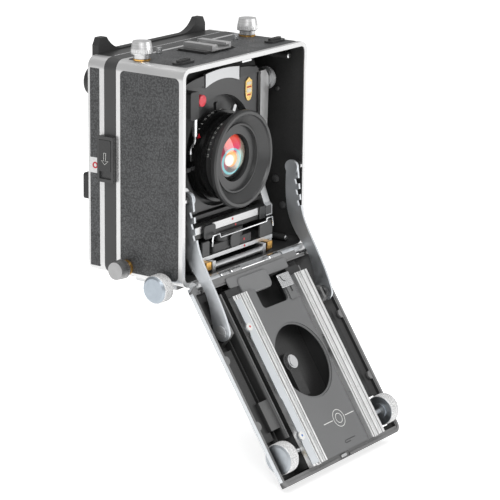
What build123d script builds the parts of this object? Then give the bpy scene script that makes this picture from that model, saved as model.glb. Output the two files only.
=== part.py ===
"""Metal folding view camera with a drop bed and a lens standard racked on a track inside the housing.

Frame, in millimetres: +X is the camera's right seen from the front, the lens looks along -Y, +Z is up.
The origin is the centre of the tripod socket's mouth, in the underside of the base plate.
The camera stands with its bed dropped, held by the tripod socket.
"""

import os
from math import atan2, cos, degrees, pi, radians, sin, sqrt, tan

from build123d import *

# ---------------------------------------------------------------- driving dimensions
# housing
HOUSING_W = 160.0
HOUSING_H = 165.0
HOUSING_D = 62.0
WALL = 2.6
EDGE_R = 8.0
LIP = 3.5
LIP_DEPTH = 3.0
FRONT_Y = -31.0
BOTTOM_Z = 5.0
LEATHER = 0.8
LEATHER_SINK = 0.6

# rear frames
MID_FRAME_D = 11.3
BACK_FRAME_D = 15.4
FRAME_GAP = 0.3
ROD_X = 73.5
ROD_R = 2.4
ROD_LOW_Z = 11.0
ROD_HIGH_Z = 157.5

# bed: v runs down the bed from its hinge, w rises from the hinge line towards the lens side
HINGE_Y = FRONT_Y - 3.8
HINGE_Z = BOTTOM_Z + 1.2
BED_DROP = 57.1
BED_HALF_W = 80.5
BED_LENGTH = 163.6
BED_RIM = 3.65
BED_FLOOR = -8.2
BED_UNDER = -10.2
STRIP_FOOT_W = 0.7
UNDER_HALF_W = 67.5
RIM_IN = 76.8
FLOOR_HALF_W = 66.0
KNUCKLE_R = 3.4
HINGE_PIN_R = 1.5

# focusing track on the bed
RAIL_IN = 31.5
RAIL_OUT = 48.4
RAIL_TOP = 12.4
RAIL_START = 18.5
RAIL_END = 158.5
PLATE_TOP = 8.4
SHAFT_V = 142.6
SHAFT_W = 4.2
SHAFT_R = 2.0
WHEEL_R = 12.0
WHEEL_IN = 63.0
WHEEL_OUT = 75.0
GEAR_MODULE = 0.8
HOLE_V = 82.5
HOLE_R = 31.0
BUTTON_V = 80.0
BUTTON_R = 5.5
BED_TEETH = 10
DRIVE_TEETH = 11
BACKLASH = 0.16
GEAR_U = 40.0

# struts
STRUT_V = 39.6
STRUT_W = 3.9
STRUT_TOP_Y = FRONT_Y + 4.2
STRUT_TOP_Z = BOTTOM_Z + 66.0
STRUT_X = 67.5
STRUT_T = 2.0

# inner track and its drive shaft
DRIVE_Y = -15.4
DRIVE_Z = 5.2
DRIVE_R = 1.8
DRIVE_KNOB_R = 10.8
TRACK_TOP = 16.0
TRACK_FRONT = -25.8
TRACK_REAR = 30.5

# lens standard and lens
BOARD_Y = -6.0
BOARD_T = 3.0
BOARD_HALF = 48.0
BOARD_LOW = 49.0
BOARD_HIGH = 149.0
LENS_Z = 89.5
RING_R = 37.7
RING_FRONT = -29.6

MID_Z = BOTTOM_Z + HOUSING_H / 2
TOP_Z = BOTTOM_Z + HOUSING_H
REAR_Y = FRONT_Y + HOUSING_D
SIDES = (-1, 1)
SLACK = 0.03


# ---------------------------------------------------------------- planes
def facing_front(y):
    """Sketch plane seen from the front: local x is X, local y is Z, and extruding goes forwards, to -Y."""
    return Plane(origin=(0, y, 0), x_dir=(1, 0, 0), z_dir=(0, -1, 0))


def from_right(x):
    """Sketch plane across the camera: local x is Y, local y is Z, and extruding goes to +X."""
    return Plane(origin=(x, 0, 0), x_dir=(0, 1, 0), z_dir=(1, 0, 0))


DOWN_BED = Vector(0, -cos(radians(BED_DROP)), -sin(radians(BED_DROP)))
OFF_BED = Vector(0, -sin(radians(BED_DROP)), cos(radians(BED_DROP)))
HINGE = Vector(0, HINGE_Y, HINGE_Z)


def bed_point(u, v, w):
    """The point u across the bed, v down it and w above its hinge line."""
    return HINGE + Vector(u, 0, 0) + DOWN_BED * v + OFF_BED * w


def on_bed(w):
    """Sketch plane parallel to the bed: local x is X, local y is -v, and extruding goes up from the bed."""
    return Plane(origin=HINGE + OFF_BED * w, x_dir=(1, 0, 0), z_dir=OFF_BED)


def across_bed(x):
    """Sketch plane across the bed: local x is v, local y is w, and extruding goes to -X."""
    return Plane(origin=HINGE + Vector(x, 0, 0), x_dir=DOWN_BED, z_dir=(-1, 0, 0))


def along_bed(v):
    """Sketch plane square to the bed's length: local x is X, local y is w, extruding down the bed."""
    return Plane(origin=bed_point(0, v, 0), x_dir=(1, 0, 0), z_dir=DOWN_BED)


def finish(builder, name):
    """Label a finished piece and write it."""
    builder.part.label = name
    export_step(builder.part, f"parts/{name}.step")


def gear_outline(teeth, module, thinning):
    """Corner points of a spur gear's section about its axis, its teeth thinned to leave backlash."""
    pitch = module * teeth / 2
    tip, root = pitch + 0.8 * module, pitch - module
    half = pi * module / 4 - thinning
    points = []
    for k in range(teeth):
        middle = 2 * pi * k / teeth
        corners = ((root, -half - 0.2), (tip, -half + 0.4), (tip, half - 0.4), (root, half + 0.2))
        for radius, offset in corners:
            angle = middle + offset / pitch
            points.append((radius * cos(angle), radius * sin(angle)))
    return points


def rack_outline(start, count, module, pitch_line, back, thinning, up=-1):
    """Corner points of a rack: teeth point along up from pitch_line, and the bar's back is at back."""
    half = pi * module / 4 - thinning
    root = pitch_line - up * module
    tip = pitch_line + up * 0.8 * module
    points = [(start - pi * module / 2, back), (start - pi * module / 2, root)]
    for k in range(count):
        middle = start + k * pi * module
        points += [(middle - half - 0.2, root), (middle - half + 0.3, tip)]
        points += [(middle + half - 0.3, tip), (middle + half + 0.2, root)]
    last = start + (count - 1) * pi * module + pi * module / 2
    return points + [(last, root), (last, back)]


os.makedirs("parts", exist_ok=True)

# ---------------------------------------------------------------- housing, root body
with BuildPart() as housing:
    with BuildSketch(facing_front(REAR_Y)):
        with Locations((0, MID_Z)):
            RectangleRounded(HOUSING_W, HOUSING_H, EDGE_R)
    extrude(amount=HOUSING_D)
    with BuildSketch(facing_front(REAR_Y)):
        with Locations((0, MID_Z)):
            RectangleRounded(HOUSING_W - 2 * WALL, HOUSING_H - 2 * WALL, EDGE_R - WALL)
    extrude(amount=HOUSING_D - LIP_DEPTH, mode=Mode.SUBTRACT)
    with BuildSketch(facing_front(FRONT_Y + LIP_DEPTH)):
        with Locations((0, MID_Z)):
            RectangleRounded(HOUSING_W - 2 * LIP, HOUSING_H - 2 * LIP, EDGE_R - LIP)
    extrude(amount=LIP_DEPTH, mode=Mode.SUBTRACT)
    # sunk beds for the leather on both sides and the top
    for side in SIDES:
        with BuildSketch(from_right(side * HOUSING_W / 2)):
            with Locations((-0.15, MID_Z - 1)):
                RectangleRounded(54.3, 153, 4)
        extrude(amount=-side * LEATHER_SINK, mode=Mode.SUBTRACT)
    with BuildSketch(Plane.XY.offset(TOP_Z)):
        RectangleRounded(143, 54.3, 3)
    extrude(amount=-LEATHER_SINK, mode=Mode.SUBTRACT)
    # rib that carries the drive shaft across under the floor
    with BuildSketch(from_right(-HOUSING_W / 2 + EDGE_R)):
        with Locations((DRIVE_Y, 4.3)):
            Rectangle(9, 6.6)
    extrude(amount=HOUSING_W - 2 * EDGE_R)
    # lugs that guide the four rods of the back
    for side in SIDES:
        for z in (ROD_LOW_Z, ROD_HIGH_Z):
            with BuildSketch(facing_front(29)):
                with Locations((side * (ROD_X + 0.3), z)):
                    Rectangle(7.8, 8.6)
            extrude(amount=12)
            with BuildSketch(facing_front(REAR_Y)):
                with Locations((side * ROD_X, z)):
                    Circle(ROD_R + SLACK)
            extrude(amount=20, mode=Mode.SUBTRACT)
    # bore for the drive shaft, and a pocket round each of its pinions
    with BuildSketch(from_right(-HOUSING_W / 2 - 1)):
        with Locations((DRIVE_Y, DRIVE_Z)):
            Circle(DRIVE_R + SLACK)
    extrude(amount=HOUSING_W + 2, mode=Mode.SUBTRACT)
    with BuildSketch(Plane.XY.offset(0)):
        for side in SIDES:
            with Locations((side * 40, DRIVE_Y)):
                Rectangle(7.4, 12)
    extrude(amount=9, mode=Mode.SUBTRACT)
    # studs that the struts hook over, on the inner side walls
    for side in SIDES:
        wall = from_right(side * (HOUSING_W / 2 - WALL))
        with BuildSketch(wall):
            with Locations((STRUT_TOP_Y, STRUT_TOP_Z)):
                Circle(3.8)
        extrude(amount=-side * 3)
        with BuildSketch(wall):
            with Locations((STRUT_TOP_Y, STRUT_TOP_Z)):
                Circle(3)
        extrude(amount=-side * (HOUSING_W / 2 - WALL - STRUT_X - STRUT_T - 0.3))
finish(housing, "housing")


SHOE_X = -1.0
SHOE_Y = 7.0
LUG_X = 58.5
LUG_Y = -15.0

with BuildPart() as body_leather:
    for side in SIDES:
        with BuildSketch(from_right(side * (HOUSING_W / 2 - LEATHER_SINK))):
            with Locations((-0.15, MID_Z - 1)):
                RectangleRounded(54.3, 153, 4)
        extrude(amount=side * LEATHER)
    with BuildSketch(Plane.XY.offset(TOP_Z - LEATHER_SINK)):
        RectangleRounded(143, 54.3, 3)
        with Locations((SHOE_X, SHOE_Y)):
            Rectangle(39, 28, mode=Mode.SUBTRACT)
    extrude(amount=LEATHER)
finish(body_leather, "body_leather")

with BuildPart() as base_plate:
    with BuildSketch(Plane.XY):
        with BuildLine():
            Polyline((-66, 26), (66, 26), (66, 6), (44, -9), (-44, -9), (-66, 6), close=True)
        make_face()
        Circle(8, mode=Mode.SUBTRACT)
    extrude(amount=BOTTOM_Z)
    chamfer(base_plate.edges().filter_by(Axis.Z).group_by(SortBy.DISTANCE)[-1], 3)
finish(base_plate, "base_plate")

TRIPOD_R = 4.76
with BuildPart() as tripod_bush:
    with BuildSketch(Plane.XY):
        Circle(8)
        Circle(TRIPOD_R, mode=Mode.SUBTRACT)
    extrude(amount=BOTTOM_Z)
finish(tripod_bush, "tripod_bush")

# accessory shoe on its black foot
SHOE_TOP = TOP_Z + 6.2
SHOE_FLOOR = TOP_Z - LEATHER_SINK + 2.4
with BuildPart() as accessory_shoe:
    with BuildSketch(Plane.XY.offset(TOP_Z - LEATHER_SINK)):
        with Locations((SHOE_X, SHOE_Y)):
            RectangleRounded(37, 27, 2)
    extrude(amount=2.4)
    with BuildSketch(Plane(origin=(-2, 18.5, 0), x_dir=(1, 0, 0), z_dir=(0, -1, 0))):
        with BuildLine():
            Polyline(
                (-12, SHOE_FLOOR), (12, SHOE_FLOOR), (12, SHOE_TOP), (5.5, SHOE_TOP), (5.5, SHOE_TOP - 1.4),
                (9.4, SHOE_TOP - 1.4), (9.4, SHOE_FLOOR + 1.2), (-9.4, SHOE_FLOOR + 1.2),
                (-9.4, SHOE_TOP - 1.4), (-5.5, SHOE_TOP - 1.4), (-5.5, SHOE_TOP), (-12, SHOE_TOP), close=True,
            )
        make_face()
    extrude(amount=27)
finish(accessory_shoe, "accessory_shoe")

with BuildPart() as strap_lugs:
    for side in SIDES:
        with BuildSketch(Plane.XY.offset(TOP_Z - LEATHER_SINK + LEATHER)):
            with Locations((side * LUG_X, LUG_Y)):
                SlotOverall(21, 9)
        extrude(amount=1.6)
        with BuildSketch(Plane.XY.offset(TOP_Z + 1.8)):
            with Locations((side * LUG_X, LUG_Y)):
                SlotOverall(15, 3.4)
                SlotOverall(11, 1.4, mode=Mode.SUBTRACT)
        extrude(amount=1.6)
finish(strap_lugs, "strap_lugs")

# cover knobs that lock the back: two on the top, two low on the sides
TOP_KNOB_X = 67.0
TOP_KNOB_Y = 17.0
SIDE_KNOB_Y = 21.0
SIDE_KNOB_Z = 13.5


def knob_profile(radius, length, shoulder, face_r, collar):
    """Half-section of a turned knob: collar end at the origin, axis along local y."""
    Polyline(
        (0, 0), (collar, 0), (collar, 2.8), (radius - 0.4, 3.2), (radius, 4.0), (radius - 0.3, shoulder),
        (face_r, length), (0, length), close=True,
    )


def turned_knob(plane, radius, length, shoulder, face_r, collar, grooves):
    """A knurled knob turned about its axis, which is the plane's local y, its grip ending at shoulder."""
    with BuildPart() as knob:
        with BuildSketch(plane):
            with BuildLine():
                knob_profile(radius, length, shoulder, face_r, collar)
            make_face()
        revolve(axis=Axis(plane.origin, plane.y_dir))
        rim = Plane(origin=plane.origin + plane.y_dir * 4.6, z_dir=plane.y_dir)
        with BuildSketch(rim):
            with PolarLocations(radius + 0.3, grooves):
                Circle(0.6)
        extrude(amount=shoulder - 5.0, mode=Mode.SUBTRACT)
    return knob


for side, word in zip(SIDES, ("left", "right")):
    top_plane = Plane(origin=(side * TOP_KNOB_X, TOP_KNOB_Y, TOP_Z + 1.6), x_dir=(1, 0, 0), z_dir=(0, -1, 0))
    finish(turned_knob(top_plane, 8.3, 12.7, 7.4, 6.9, 6.2, 30), f"top_lock_knob_{word}")
    side_plane = Plane(
        origin=(side * (HOUSING_W / 2 + 1.6), SIDE_KNOB_Y, SIDE_KNOB_Z), x_dir=(0, 1, 0), z_dir=(0, 0, -side)
    )
    finish(turned_knob(side_plane, 7.5, 12.8, 8.6, 6.7, 5.0, 28), f"side_lock_knob_{word}")

with BuildPart() as knob_collars:
    for side in SIDES:
        with BuildSketch(Plane.XY.offset(TOP_Z - LEATHER_SINK + LEATHER)):
            with Locations((side * TOP_KNOB_X, TOP_KNOB_Y)):
                Circle(6.4)
        extrude(amount=1.1)
        with BuildSketch(from_right(side * (HOUSING_W / 2 + LEATHER - LEATHER_SINK))):
            with Locations((SIDE_KNOB_Y, SIDE_KNOB_Z)):
                Circle(6.0)
        extrude(amount=side * 1.1)
finish(knob_collars, "knob_collars")

# ---------------------------------------------------------------- inner track and its drive
with BuildPart() as inner_track:
    for side in SIDES:
        for low, high, start in ((31.0, 35.0, TRACK_FRONT), (46.0, 50.0, TRACK_FRONT + 5)):
            with BuildSketch(Plane.XY.offset(BOTTOM_Z + WALL)):
                with Locations((side * (low + high) / 2, (start + TRACK_REAR) / 2)):
                    Rectangle(high - low, TRACK_REAR - start)
            extrude(amount=TRACK_TOP - BOTTOM_Z - WALL)
    with BuildSketch(from_right(-33)):
        with Locations((-23.2, 11.2)):
            Circle(2.4)
    extrude(amount=66)
finish(inner_track, "inner_track")

with BuildPart() as drive_shaft:
    with BuildSketch(from_right(-HOUSING_W / 2 - 4)):
        with Locations((DRIVE_Y, DRIVE_Z)):
            Circle(DRIVE_R)
    extrude(amount=HOUSING_W + 8)
    for side in SIDES:
        gear_plane = Plane(origin=(side * GEAR_U - 3, DRIVE_Y, DRIVE_Z), x_dir=(0, 1, 0), z_dir=(1, 0, 0))
        with BuildSketch(gear_plane):
            with BuildLine():
                Polyline(*gear_outline(DRIVE_TEETH, GEAR_MODULE, BACKLASH), close=True)
            make_face()
        extrude(amount=6)
finish(drive_shaft, "drive_shaft")

with BuildPart() as drive_knobs:
    for side in SIDES:
        outer = Plane(
            origin=(side * (HOUSING_W / 2 + 0.4), DRIVE_Y, DRIVE_Z), x_dir=(0, 1, 0), z_dir=(0, 0, -side)
        )
        with BuildSketch(outer):
            with BuildLine():
                Polyline(
                    (DRIVE_R, 0), (7.5, 0), (7.5, 2.2), (DRIVE_KNOB_R - 0.9, 2.8), (DRIVE_KNOB_R, 3.8),
                    (DRIVE_KNOB_R, 12.4), (DRIVE_KNOB_R - 0.9, 13.6), (8.6, 14.6), (0, 14.6),
                    (0, 3.6), (DRIVE_R, 3.6), close=True,
                )
            make_face()
        revolve(axis=Axis(outer.origin, outer.y_dir))
        with BuildSketch(Plane(origin=outer.origin + outer.y_dir * 4.2, z_dir=outer.y_dir)):
            with PolarLocations(DRIVE_KNOB_R + 0.3, 40):
                Circle(0.6)
        extrude(amount=7.8, mode=Mode.SUBTRACT)
finish(drive_knobs, "drive_knobs")

# ---------------------------------------------------------------- hinge
with BuildPart() as bed_hinges:
    for side in SIDES:
        with BuildSketch(from_right(side * 57 if side > 0 else -72)):
            with Locations((HINGE_Y, HINGE_Z)):
                Circle(KNUCKLE_R)
            with Locations(((HINGE_Y + FRONT_Y) / 2, HINGE_Z + 0.2)):
                Rectangle(FRONT_Y - HINGE_Y, 4)
        extrude(amount=15)
        with BuildSketch(from_right(40.5 if side > 0 else -72)):
            with Locations((HINGE_Y, HINGE_Z)):
                Circle(HINGE_PIN_R)
        extrude(amount=31.5)
finish(bed_hinges, "bed_hinges")

# ---------------------------------------------------------------- bed
BED_MID_V = (0.5 + BED_LENGTH) / 2
LEDGE_IN = 61.0
LEDGE_OUT = 74.4
LEDGE_TOP = -2.4
BLOCK_TOP = 1.6
LEDGE_START = 54.0
LEDGE_END = 128.0
BOSS_V = (60.5, 114.0)
LEATHER_W = 122.0
with BuildPart() as bed_tray:
    # section across the bed: upright silver strips at the sides, then sides that slope in to the underside
    with BuildSketch(along_bed(0.5)):
        with BuildLine():
            Polyline(
                (-BED_HALF_W, BED_RIM), (BED_HALF_W, BED_RIM), (BED_HALF_W, STRIP_FOOT_W),
                (UNDER_HALF_W, BED_UNDER), (-UNDER_HALF_W, BED_UNDER), (-BED_HALF_W, STRIP_FOOT_W),
                close=True,
            )
        make_face()
    extrude(amount=BED_LENGTH - 0.5)
    with BuildSketch(on_bed(BED_UNDER)):
        with Locations((0, -BED_MID_V)):
            RectangleRounded(2 * BED_HALF_W, BED_LENGTH - 0.5, 7)
    extrude(amount=BED_RIM - BED_UNDER, mode=Mode.INTERSECT)
    with BuildSketch(along_bed(7)):
        with BuildLine():
            Polyline(
                (-RIM_IN, BED_RIM), (RIM_IN, BED_RIM), (RIM_IN, 0.2), (FLOOR_HALF_W, BED_FLOOR),
                (-FLOOR_HALF_W, BED_FLOOR), (-RIM_IN, 0.2), close=True,
            )
        make_face()
    extrude(amount=BED_LENGTH - 12, mode=Mode.SUBTRACT)
    # low step round the inner edge of the rim
    with BuildSketch(on_bed(BED_RIM)):
        with Locations((0, -(5.4 + BED_LENGTH - 2.4) / 2)):
            RectangleRounded(2 * RIM_IN + 2.2, BED_LENGTH - 7.8, 4.5)
    extrude(amount=-0.7, mode=Mode.SUBTRACT)
    # ledges along both sides, and the raised block ahead of the left focusing wheel
    for side in SIDES:
        with BuildSketch(along_bed(LEDGE_START)):
            with BuildLine():
                Polyline(
                    (side * LEDGE_IN, BED_FLOOR - 0.2), (side * (FLOOR_HALF_W + 0.6), BED_FLOOR - 0.2),
                    (side * LEDGE_OUT, LEDGE_TOP), (side * LEDGE_IN, LEDGE_TOP), close=True,
                )
            make_face()
        extrude(amount=LEDGE_END - LEDGE_START)
    with BuildSketch(on_bed(BED_FLOOR)):
        with Locations((-58, -110)):
            Rectangle(11, 23)
    extrude(amount=BLOCK_TOP - BED_FLOOR)
    # half-round bosses on the inner edge of the rim
    for side in SIDES:
        with BuildSketch(on_bed(STRIP_FOOT_W)):
            for v in BOSS_V:
                with Locations((side * RIM_IN, -v)):
                    Circle(3.4)
        extrude(amount=BED_RIM - 0.7 - STRIP_FOOT_W)
    # slots for the focusing wheels
    with BuildSketch(on_bed(BED_UNDER - 1)):
        for side in SIDES:
            with Locations((side * (WHEEL_IN + WHEEL_OUT) / 2, -SHAFT_V)):
                Rectangle(WHEEL_OUT - WHEEL_IN + 1.4, 2 * WHEEL_R + 1.6)
    extrude(amount=BED_RIM - BED_UNDER + 2, mode=Mode.SUBTRACT)
    # room for the fixed knuckles
    for side in SIDES:
        with BuildSketch(on_bed(BED_UNDER)):
            with Locations((side * 64.6, -1.5)):
                Rectangle(16, 6.0)
        extrude(amount=BED_RIM - BED_UNDER, mode=Mode.SUBTRACT)
    # moving knuckles
    for side in SIDES:
        with BuildSketch(across_bed(side * 41 if side < 0 else 56.7)):
            with Locations((0, 0)):
                Circle(KNUCKLE_R)
            with Locations((1.6, 0)):
                Rectangle(3.2, 5)
        extrude(amount=15.7)
        with BuildSketch(across_bed(side * 40 if side < 0 else 58)):
            Circle(HINGE_PIN_R + SLACK)
        extrude(amount=18, mode=Mode.SUBTRACT)
    # sunk place for the leather underneath
    with BuildSketch(on_bed(BED_UNDER)):
        with Locations((0, -BED_MID_V - 1)):
            RectangleRounded(LEATHER_W, 150, 4)
    extrude(amount=LEATHER_SINK, mode=Mode.SUBTRACT)
    # collar and hole of the button that frees the shut bed
    with BuildSketch(on_bed(BED_FLOOR)):
        with Locations((0, -BUTTON_V)):
            Circle(BUTTON_R + 2.5)
        with Locations((0, -BUTTON_V - 16)):
            Rectangle(11, 24)
    extrude(amount=4.4)
    with BuildSketch(on_bed(BED_UNDER)):
        with Locations((0, -BUTTON_V)):
            Circle(BUTTON_R + 0.05)
    extrude(amount=8, mode=Mode.SUBTRACT)
    # bosses that carry the struts
    for side in SIDES:
        with BuildSketch(across_bed(side * 60.4 if side < 0 else 67.2)):
            with BuildLine():
                Polyline((30, BED_FLOOR), (50, BED_FLOOR), (46, 3), (44, 7), (35.5, 7), (33, 3), close=True)
            make_face()
        extrude(amount=6.8)
        with BuildSketch(across_bed(side * 60 if side < 0 else 68)):
            with Locations((STRUT_V, STRUT_W)):
                Circle(2.5)
        extrude(amount=8, mode=Mode.SUBTRACT)
    # long ribs of the casting
    for side in SIDES:
        for rib_x, height in ((51.6, 12.6), (57.0, 5.5)):
            with BuildSketch(on_bed(BED_FLOOR)):
                with Locations((side * rib_x, -72)):
                    Rectangle(1.4, 118)
            extrude(amount=height)
    # notches that the struts pass through in the near wall
    for side in SIDES:
        with BuildSketch(on_bed(0)):
            with Locations((side * (STRUT_X + STRUT_T / 2), -6)):
                Rectangle(3.4, 12)
        extrude(amount=BED_RIM, mode=Mode.SUBTRACT)
    # catch that latches under the top lip when the bed is shut
    with BuildSketch(on_bed(BED_RIM)):
        with Locations((0, -(BED_LENGTH - 2.6))):
            RectangleRounded(16, 4, 1)
    extrude(amount=-1, mode=Mode.SUBTRACT)
finish(bed_tray, "bed_tray")

with BuildPart() as bed_leather:
    with BuildSketch(on_bed(BED_UNDER + LEATHER_SINK - LEATHER)):
        with Locations((0, -BED_MID_V - 1)):
            RectangleRounded(LEATHER_W, 150, 4)
        with Locations((0, -BUTTON_V)):
            Circle(BUTTON_R + 0.3, mode=Mode.SUBTRACT)
    extrude(amount=LEATHER)
finish(bed_leather, "bed_leather")

GUIDE_TOP = 6.0
with BuildPart() as bed_guides:
    for side in SIDES:
        with BuildSketch(on_bed(BED_FLOOR)):
            with Locations((side * (RAIL_IN + RAIL_OUT) / 2, -(12 + 157.5) / 2)):
                Rectangle(RAIL_OUT - RAIL_IN - 1, 145.5)
        extrude(amount=GUIDE_TOP - BED_FLOOR)
        with BuildSketch(on_bed(BED_FLOOR + 2)):
            with Locations((side * GEAR_U, -SHAFT_V)):
                Rectangle(7.4, 12)
        extrude(amount=GUIDE_TOP - BED_FLOOR, mode=Mode.SUBTRACT)
    with BuildSketch(across_bed(60)):
        with Locations((SHAFT_V, SHAFT_W)):
            Circle(SHAFT_R + SLACK)
    extrude(amount=120, mode=Mode.SUBTRACT)
finish(bed_guides, "bed_guides")

with BuildPart() as focus_shaft:
    with BuildSketch(across_bed(WHEEL_OUT - 1)):
        with Locations((SHAFT_V, SHAFT_W)):
            Circle(SHAFT_R)
    extrude(amount=2 * (WHEEL_OUT - 1))
    for side in SIDES:
        gear_plane = Plane(
            origin=bed_point(side * GEAR_U + 3, SHAFT_V, SHAFT_W), x_dir=DOWN_BED, z_dir=(-1, 0, 0)
        )
        with BuildSketch(gear_plane):
            with BuildLine():
                Polyline(*gear_outline(BED_TEETH, GEAR_MODULE, BACKLASH), close=True)
            make_face()
        extrude(amount=6)
finish(focus_shaft, "focus_shaft")

with BuildPart() as focus_wheels:
    for side in SIDES:
        hub = Plane(
            origin=bed_point(side * WHEEL_IN, SHAFT_V, SHAFT_W), x_dir=(0, 1, 0), z_dir=(0, 0, -side)
        )
        with BuildSketch(hub):
            with BuildLine():
                Polyline(
                    (SHAFT_R, 0), (6, 0), (6, 1.2), (WHEEL_R - 0.8, 1.2), (WHEEL_R, 2), (WHEEL_R, 10.6),
                    (WHEEL_R - 0.8, 11.4), (WHEEL_R - 2.4, 12), (0, 12), (0, 11), (SHAFT_R, 11), close=True,
                )
            make_face()
        revolve(axis=Axis(hub.origin, hub.y_dir))
        with BuildSketch(Plane(origin=hub.origin + hub.y_dir * 2.2, z_dir=hub.y_dir)):
            with PolarLocations(WHEEL_R + 0.3, 44):
                Circle(0.6)
        extrude(amount=8.2, mode=Mode.SUBTRACT)
finish(focus_wheels, "focus_wheels")

# focusing track: two grooved rails joined by the centre plate
RAIL_WALL = 1.8
GROOVE = 1.0
RAIL_FOOT = 6.3
RAIL_ROOF = 10.0
RAIL_SECTION = [
    (RAIL_IN, RAIL_FOOT), (RAIL_IN, RAIL_TOP), (36.2, RAIL_TOP), (36.8, RAIL_TOP - GROOVE),
    (37.8, RAIL_TOP - GROOVE), (38.4, RAIL_TOP), (41.6, RAIL_TOP), (42.2, RAIL_TOP - GROOVE),
    (43.2, RAIL_TOP - GROOVE), (43.8, RAIL_TOP), (RAIL_OUT, RAIL_TOP), (RAIL_OUT, RAIL_FOOT),
    (RAIL_OUT - RAIL_WALL, RAIL_FOOT), (RAIL_OUT - RAIL_WALL, RAIL_ROOF),
    (RAIL_IN + RAIL_WALL, RAIL_ROOF), (RAIL_IN + RAIL_WALL, RAIL_FOOT),
]
STRIP_IN = 41.5
STRIP_SEAT = 11.2
LEFT_RAIL_SECTION = [
    (-RAIL_IN, RAIL_FOOT), (-RAIL_IN, RAIL_TOP), (-34.6, RAIL_TOP), (-35.2, RAIL_TOP - GROOVE),
    (-36.0, RAIL_TOP - GROOVE), (-36.6, RAIL_TOP), (-38.6, RAIL_TOP), (-39.2, RAIL_TOP - GROOVE),
    (-40.0, RAIL_TOP - GROOVE), (-40.6, RAIL_TOP), (-STRIP_IN, RAIL_TOP), (-STRIP_IN, STRIP_SEAT),
    (-RAIL_OUT, STRIP_SEAT), (-RAIL_OUT, RAIL_FOOT), (RAIL_WALL - RAIL_OUT, RAIL_FOOT),
    (RAIL_WALL - RAIL_OUT, RAIL_ROOF), (-RAIL_IN - RAIL_WALL, RAIL_ROOF), (-RAIL_IN - RAIL_WALL, RAIL_FOOT),
]
BED_PITCH_R = GEAR_MODULE * BED_TEETH / 2
GEAR_PITCH = pi * GEAR_MODULE
RACK_TEETH = 52
RACK_START = SHAFT_V - (RACK_TEETH - 7) * GEAR_PITCH
with BuildPart() as focus_rails:
    with BuildSketch(along_bed(RAIL_START)):
        for section in (RAIL_SECTION, LEFT_RAIL_SECTION):
            with BuildLine():
                Polyline(*section, close=True)
            make_face()
    extrude(amount=RAIL_END - RAIL_START)
    for side in SIDES:
        with BuildSketch(across_bed(side * GEAR_U + 3)):
            with BuildLine():
                Polyline(
                    *rack_outline(RACK_START, RACK_TEETH, GEAR_MODULE, SHAFT_W + BED_PITCH_R, RAIL_ROOF,
                                  BACKLASH),
                    close=True,
                )
            make_face()
        extrude(amount=6)
finish(focus_rails, "focus_rails")

with BuildPart() as track_plate:
    with BuildSketch(on_bed(PLATE_TOP - 1.8)):
        with Locations((0, -(RAIL_START + RAIL_END) / 2)):
            Rectangle(2 * RAIL_IN, RAIL_END - RAIL_START)
        with Locations((0, -HOLE_V)):
            Circle(HOLE_R - 1.5, mode=Mode.SUBTRACT)
        with Locations((0, -(RAIL_START + 6))):
            RectangleRounded(34, 22, 4, mode=Mode.SUBTRACT)
    extrude(amount=1.8)
    with BuildSketch(on_bed(PLATE_TOP)):
        with Locations((0, -HOLE_V)):
            Circle(HOLE_R)
    extrude(amount=-0.9, mode=Mode.SUBTRACT)
    with BuildSketch(on_bed(PLATE_TOP)):
        with Locations((23.5, -28)):
            RectangleRounded(10, 17, 1)
        with Locations((23.5, -27)):
            SlotOverall(8, 2.2, rotation=90, mode=Mode.SUBTRACT)
    extrude(amount=1.2)
finish(track_plate, "track_plate")

# infinity-stop strip let into the left rail's outer edge, with its two dotted discs
STRIP_T = 0.9
STRIP_OUT = 50.0
with BuildPart() as stop_strip:
    with BuildSketch(on_bed(STRIP_SEAT)):
        with BuildLine():
            Polyline(
                (-STRIP_IN, -22), (-STRIP_IN, -157), (-STRIP_OUT, -157), (-STRIP_OUT, -139),
                (-STRIP_OUT + 0.9, -136), (-STRIP_OUT + 0.9, -104), (-STRIP_OUT, -101), (-STRIP_OUT, -52),
                (-STRIP_OUT + 0.9, -49), (-STRIP_OUT + 0.9, -22), close=True,
            )
        make_face()
    extrude(amount=STRIP_T)
    with BuildSketch(on_bed(STRIP_SEAT + STRIP_T)):
        for v in (44.5, 134.0):
            with Locations((-STRIP_OUT, -v)):
                Circle(3.2)
    extrude(amount=2.0)
finish(stop_strip, "stop_strip")

with BuildPart() as bed_button:
    with BuildSketch(on_bed(BED_UNDER - 1.6)):
        with Locations((0, -BUTTON_V)):
            Circle(BUTTON_R)
    extrude(amount=10.2)
    with BuildSketch(on_bed(BED_UNDER + 8.6)):
        with Locations((0, -BUTTON_V)):
            Circle(BUTTON_R - 1.1)
    extrude(amount=0.9)
finish(bed_button, "bed_button")

# ---------------------------------------------------------------- struts
STRUT_LOW = HINGE + DOWN_BED * STRUT_V + OFF_BED * STRUT_W
STRUT_RUN_Y = STRUT_TOP_Y - STRUT_LOW.Y
STRUT_RUN_Z = STRUT_TOP_Z - STRUT_LOW.Z
STRUT_LENGTH = sqrt(STRUT_RUN_Y**2 + STRUT_RUN_Z**2)
STRUT_ANGLE = degrees(atan2(STRUT_RUN_Z, STRUT_RUN_Y))


def strut_plane(x):
    """Plane with its origin at the strut's lower pivot and local x along the strut, extruding to +X."""
    tilt = radians(STRUT_ANGLE)
    return Plane(
        origin=(x, STRUT_LOW.Y, STRUT_LOW.Z), x_dir=(0, cos(tilt), sin(tilt)), z_dir=(1, 0, 0)
    )


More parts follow.
